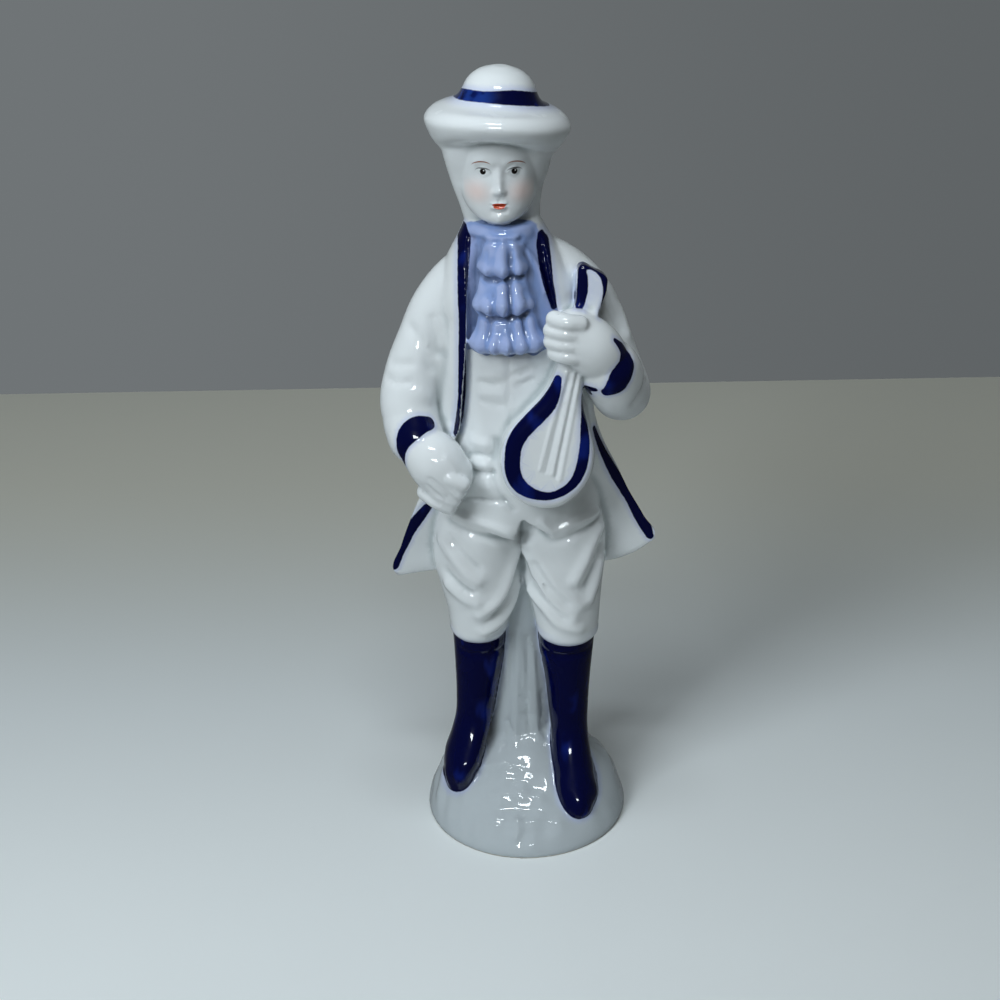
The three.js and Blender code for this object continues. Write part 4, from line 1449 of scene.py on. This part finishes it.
def painted_face(desk, colour, paint):
    """The colour with blush, lips, brows and eyes painted over it, and a painted highlight in each eye."""
    x = FACE_MIDDLE
    split = desk.nodes.new("ShaderNodeSeparateXYZ")
    desk.feed(split.inputs[0], desk.places())
    before = desk.ramp(split.outputs["Y"], -5.5 * MM, -6.5 * MM)

    blush = 0.0
    for side in (-1, 1):
        cheek = desk.disc(x + side * 5.2, 173.2, 2.5, 2.2, soft=0.95)
        blush = desk.either(cheek, blush)
    colour = desk.blend(desk.both(desk.both(blush, before), 0.34), colour, tuple(paint.flesh))

    upper = desk.either(
        desk.disc(x - 0.62, MOUTH_LEVEL + 0.3, 1.0, 0.36, turn=-0.06),
        desk.disc(x + 0.62, MOUTH_LEVEL + 0.3, 1.0, 0.36, turn=0.06),
    )
    lower = desk.disc(x, MOUTH_LEVEL - 0.14, 1.35, 0.62)
    lips = desk.either(upper, lower)
    colour = desk.blend(desk.both(lips, before), colour, tuple(paint.lips))
    parting = desk.disc(x, MOUTH_LEVEL + 0.06, 1.35, 0.11, soft=0.4)
    colour = desk.blend(desk.both(parting, before), colour, tuple(0.35 * c for c in paint.lips))

    for side in (-1, 1):
        eye = x + side * EYE_APART
        brow = desk.without(
            desk.disc(eye + side * 0.35, EYE_LEVEL + 1.15, 2.3, 1.35, turn=side * 0.1, soft=0.06),
            desk.disc(eye + side * 0.3, EYE_LEVEL + 0.84, 2.6, 1.36, turn=side * 0.1, soft=0.06),
        )
        colour = desk.blend(desk.both(brow, before), colour, tuple(paint.brows))
        lash = desk.without(
            desk.disc(eye, EYE_LEVEL, 1.75, 0.95),
            desk.disc(eye, EYE_LEVEL - 0.22, 1.95, 0.92),
        )
        lids = desk.disc(eye, EYE_LEVEL - 0.05, 1.5, 0.72)
        iris = desk.both(desk.disc(eye, EYE_LEVEL + 0.02, 0.68, 0.72), lids)
        dark = desk.either(lash, iris)
        colour = desk.blend(desk.both(dark, before), colour, EYE_BLACK)
        # A painted highlight in each eye.
        glint = desk.disc(eye + 0.2, EYE_LEVEL + 0.24, 0.15, 0.15)
        colour = desk.blend(desk.both(glint, before), colour, GLINT_WHITE)
    return colour


def porcelain(paint):
    """White glaze over painted porcelain, bare clay under the foot."""
    material = bpy.data.materials.new("porcelain")
    material.use_nodes = True
    desk = NodeDesk(material)
    shader = desk.nodes["Principled BSDF"]

    # Painted shade: the white glaze turns grey in creases and hollows, partly as thick glaze, partly as shade
    # painted into the folds.
    pool_and_shade = desk.ramp(desk.attribute("hollow"), 0.1, 1.0)
    # Partly a greyer glaze, partly painted shade: the mound and stump are painted darker than the figure.
    ground_grey_and_shade_share = desk.ramp(desk.attribute("ground_grey_and_shade"), 1.2, -0.6)
    colour = desk.blend(ground_grey_and_shade_share, tuple(paint.glaze), tuple(paint.ground_grey_and_shade))
    colour = desk.blend(pool_and_shade, colour, tuple(paint.pooled_glaze_and_shade))
    colour = painted_face(desk, colour, paint)

    ragged = desk.maths("SUBTRACT", desk.noise(900), 0.5)
    wash = desk.maths("ADD", desk.attribute("wash"), desk.both(ragged, 0.2))
    # Painted light and shade on the neckcloth: its wash is paler on ridges and far darker in creases and
    # under the tiers, partly as thin and thick wash, partly as painted highlight and painted shade.
    ridge = desk.ramp(desk.attribute("hollow"), -0.05, -0.5, 0.0, 0.7)
    cloth = desk.blend(ridge, tuple(paint.cloth), PALE_CLOTH)
    shaded_cloth_hollow = desk.ramp(desk.attribute("hollow"), 0.02, 0.6)
    cloth = desk.blend(shaded_cloth_hollow, cloth, tuple(0.42 * c for c in paint.cloth))
    streaks = desk.ramp(desk.noise(500, stretch=(1, 1, 0.4)), 0.3, 0.7, 0.0, 0.3)
    cloth = desk.blend(streaks, cloth, PALE_CLOTH)
    colour = desk.blend(desk.ramp(wash, 0.12, -0.12), colour, cloth)

    field = desk.maths("ADD", desk.attribute("cobalt"), desk.both(ragged, 0.2))
    thin = desk.ramp(desk.noise(170, stretch=(1, 1, 0.5)), 0.56, 0.74, 0.0, 0.8)
    cobalt = desk.blend(thin, tuple(paint.cobalt), tuple(paint.thin_cobalt))
    # Painted light: the left of the hat band, the side towards the key lamp, is painted a lighter, streaked
    # blue.
    lit_band_streaks = desk.ramp(desk.noise(420, stretch=(0.35, 1, 1)), 0.36, 0.6, 0.15, 1.0)
    lit_band_patch = desk.both(desk.disc(-11.2, 194.6, 5.2, 3.4, soft=0.5), lit_band_streaks)
    cobalt = desk.blend(lit_band_patch, cobalt, LIT_BAND_COBALT)
    bleed = desk.ramp(field, 1.7, 0.0, 0.0, 0.42)
    colour = desk.blend(bleed, colour, PALE_BLEED)
    colour = desk.blend(desk.ramp(field, 0.14, -0.1), colour, cobalt)

    bare = desk.ramp(desk.attribute("bare"), 0.2, -0.2)
    speckle = desk.ramp(desk.noise(2500), 0.3, 0.8, 0.0, 0.4)
    clay = desk.blend(speckle, tuple(paint.biscuit), tuple(0.7 * c for c in paint.biscuit))
    colour = desk.blend(bare, colour, clay)
    desk.feed(shader.inputs["Base Color"], colour)

    gloss = desk.ramp(desk.noise(120), 0.3, 0.7, 0.22, 0.28)
    desk.feed(shader.inputs["Roughness"], desk.maths("ADD", gloss, desk.both(bare, 0.6)))
    for socket, value in GLAZE_VALUES.items():
        shader.inputs[socket].default_value = value

    bump = desk.nodes.new("ShaderNodeBump")
    bump.inputs["Strength"].default_value = 0.25
    bump.inputs["Distance"].default_value = 0.05 * MM
    wave = desk.maths("ADD", desk.noise(260), desk.both(desk.noise(1400), 0.12))
    desk.feed(bump.inputs["Height"], wave)
    desk.feed(shader.inputs["Normal"], bump.outputs[0])
    return material


def lamp(name, place, size, power, mirrored):
    """A soft lamp at a place, turned to the figurine, with its width and height. It either lights the
    scene or, mirrored, is only seen in the glaze."""
    light = bpy.data.lights.new(name, "AREA")
    light.shape = "RECTANGLE"
    light.size, light.size_y = size
    light.energy = power
    light.color = LAMP_TINT
    made = bpy.data.objects.new(name, light)
    bpy.context.collection.objects.link(made)
    made.location = place
    made.rotation_euler = (Vector(LAMP_AIM) - Vector(place)).to_track_quat("-Z", "Y").to_euler()
    made.visible_glossy = mirrored
    made.visible_diffuse = not mirrored


def table_surface_and_painted_light(colour):
    """The table's surface: its colour and sheen vary a little, and it is painted paler towards the front as
    painted light and warmer towards the back as painted shade."""
    material = bpy.data.materials.new("table")
    material.use_nodes = True
    desk = NodeDesk(material)
    shader = desk.nodes["Principled BSDF"]
    split = desk.nodes.new("ShaderNodeSeparateXYZ")
    desk.feed(split.inputs[0], desk.places())
    # Painted light: paler towards the front.
    front = desk.ramp(split.outputs["Y"], 0.2, -0.08)
    colour_with_painted_light = desk.blend(front, colour, tuple(min(1.4 * c, 0.96) for c in colour))
    # Painted shade: warmer and darker towards the back.
    painted_back_shade = tuple(share * c for share, c in zip((1.0, 0.93, 0.8), colour))
    colour_with_painted_light = desk.blend(desk.ramp(split.outputs["Y"], 0.04, 0.22), colour_with_painted_light, painted_back_shade)
    cloud = desk.ramp(desk.noise(6), 0.3, 0.7, 0.0, 0.04)
    desk.feed(shader.inputs["Base Color"], desk.blend(cloud, colour_with_painted_light, tuple(0.8 * c for c in colour)))
    desk.feed(shader.inputs["Roughness"], desk.ramp(desk.noise(40), 0.3, 0.7, 0.4, 0.48))
    return material


# The steps, as buttons


def cast_piece():
    """The figurine as the first step cast it."""
    if PIECE not in bpy.data.objects:
        raise RuntimeError("the figurine isn't cast yet")
    return bpy.data.objects[PIECE]


class MUSICIAN_OT_cast(bpy.types.Operator):
    """Casts the figurine: fuses all its forms into one soft-edged body."""

    bl_idname = "musician.cast"
    bl_label = "Cast Figurine"

    def execute(self, context):
        settings = context.scene.musician_casting
        bpy.ops.object.select_all(action="DESELECT")
        FORMS.update(forms_of_the_figure())
        made = [mesh_object(name, form) for name, group in FORMS.items() for form in group]
        select_only(*made)
        bpy.ops.object.join()
        piece = context.view_layer.objects.active
        piece.name = piece.data.name = PIECE
        apply_modifier(piece, "REMESH", mode="VOXEL", voxel_size=settings.grain)
        if len(piece.data.polygons) < 1000:
            raise RuntimeError("the forms didn't fuse into a body")
        apply_modifier(piece, "SMOOTH", factor=0.5, iterations=settings.softness)
        return {"FINISHED"}


class MUSICIAN_OT_carve(bpy.types.Operator):
    """Carves folds, face, hair, strings, bark and rock into the cast."""

    bl_idname = "musician.carve"
    bl_label = "Carve Figurine"

    def execute(self, context):
        settings = context.scene.musician_casting
        piece = cast_piece()
        folds = BREECHES_FOLDS + WAISTCOAT_FOLDS + SLEEVE_FOLDS + JABOT_FOLDS + COAT_BACK
        press(piece, folds, settings.fold_depth)
        press(piece, HAND_CREASES + LUTE_LINES + ROCK_LEDGES + STUMP_BARK)
        round_skirt(piece, SKIRT_CORNER, SKIRT_ROUNDING)
        flutes(piece)
        refine_face(piece)
        carve_face(piece)
        # The glaze reads this depth to darken creases, partly as painted shade.
        store(piece, "hollow", hollows(piece))
        thin_out(piece, settings.most_triangles)
        if len(piece.data.polygons) > 1.1 * settings.most_triangles:
            raise RuntimeError("the figurine couldn't be thinned out")
        return {"FINISHED"}


class MUSICIAN_OT_paint(bpy.types.Operator):
    """Paints the figurine and glazes it."""

    bl_idname = "musician.paint"
    bl_label = "Paint Figurine"

    def execute(self, context):
        piece = cast_piece()
        low, high = np.array(CAD_BOX)
        move_points(piece, np.clip(points_of(piece), low, high))
        cobalt, wash, ground_grey_and_shade, _ = painted_fields(piece)
        store(piece, "cobalt", spread(piece, cobalt, 1))
        store(piece, "wash", spread(piece, wash, 3))
        store(piece, "ground_grey_and_shade", ground_grey_and_shade)
        store(piece, "bare", points_of(piece)[:, 2] / MM - 0.35)
        piece.data.materials.clear()
        piece.data.materials.append(porcelain(context.scene.musician_paint))
        select_only(piece)
        bpy.ops.object.shade_smooth()
        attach(piece, "root")
        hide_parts(NODE)
        return {"FINISHED"}


class MUSICIAN_OT_stage(bpy.types.Operator):
    """Sets the table, the room's grey, the lamps and the camera."""

    bl_idname = "musician.stage"
    bl_label = "Set Stage"

    def execute(self, context):
        settings = context.scene.musician_stage
        width, depth = TABLE_SIZE
        middle = settings.table_edge - depth / 2
        bpy.ops.mesh.primitive_plane_add(size=1, location=(0, middle, 0))
        table = context.view_layer.objects.active
        table.name = table.data.name = "table"
        table.scale = (width, depth, 1)
        bpy.ops.object.transform_apply(location=True, rotation=True, scale=True)
        table.data.materials.append(table_surface_and_painted_light(tuple(settings.table)))
        table.visible_glossy = False

        world = context.scene.world or bpy.data.worlds.new("room")
        context.scene.world = world
        world.use_nodes = True
        desk = NodeDesk(world)
        way = desk.nodes.new("ShaderNodeSeparateXYZ")
        desk.feed(way.inputs[0], desk.nodes.new("ShaderNodeTexCoord").outputs["Generated"])
        behind = desk.ramp(way.outputs["Y"], 0.6, 0.85)
        darker = tuple(0.72 * part for part in settings.backdrop)
        across = desk.ramp(way.outputs["X"], -0.25, 0.3)
        wall = desk.blend(across, tuple(settings.backdrop), darker)
        wall = desk.blend(behind, tuple(settings.room), wall)
        desk.feed(desk.nodes["Background"].inputs["Color"], wall)

        for name, place, size, share, mirrored in LAMPS:
            lamp(name, place, size, settings.key_power * share, mirrored)
        context.scene.view_settings.view_transform = "Standard"

        camera = bpy.data.objects.new("camera", bpy.data.cameras.new("camera"))
        context.collection.objects.link(camera)
        camera.location = CAMERA_PLACE
        level_view = math.radians(90)
        turn = Matrix.Rotation(level_view + CAMERA_PITCH, 3, "X") @ Matrix.Rotation(CAMERA_ROLL, 3, "Z")
        camera.rotation_euler = turn.to_euler()
        camera.data.sensor_width = SENSOR_WIDTH
        camera.data.lens = LENS
        context.scene.camera = camera
        return {"FINISHED"}


class MUSICIAN_PT_panel(bpy.types.Panel):
    """Lists the steps of making the figurine and what can be changed."""

    bl_label = "Porcelain Musician"
    bl_idname = "MUSICIAN_PT_panel"
    bl_space_type = "VIEW_3D"
    bl_region_type = "UI"
    bl_category = "Musician"

    def draw(self, context):
        steps = (
            (MUSICIAN_OT_cast, None),
            (MUSICIAN_OT_carve, context.scene.musician_casting),
            (MUSICIAN_OT_paint, context.scene.musician_paint),
            (MUSICIAN_OT_stage, context.scene.musician_stage),
        )
        for operator, settings in steps:
            box = self.layout.box()
            box.operator(operator.bl_idname)
            if settings:
                for name in settings.__annotations__:
                    box.prop(settings, name)


CLASSES = (
    CastingSettings,
    PaintSettings,
    StageSettings,
    MUSICIAN_OT_cast,
    MUSICIAN_OT_carve,
    MUSICIAN_OT_paint,
    MUSICIAN_OT_stage,
    MUSICIAN_PT_panel,
)


def register():
    for each in CLASSES:
        bpy.utils.register_class(each)
    scene = bpy.types.Scene
    scene.musician_casting = bpy.props.PointerProperty(type=CastingSettings)
    scene.musician_paint = bpy.props.PointerProperty(type=PaintSettings)
    scene.musician_stage = bpy.props.PointerProperty(type=StageSettings)


def unregister():
    del bpy.types.Scene.musician_casting
    del bpy.types.Scene.musician_paint
    del bpy.types.Scene.musician_stage
    for each in reversed(CLASSES):
        bpy.utils.unregister_class(each)


def main():
    """Makes the figurine and its stage."""
    register()
    bpy.ops.object.select_all(action="DESELECT")
    bpy.ops.musician.cast()
    bpy.ops.musician.carve()
    bpy.ops.musician.paint()
    bpy.ops.musician.stage()


if __name__ == "__main__":
    main()
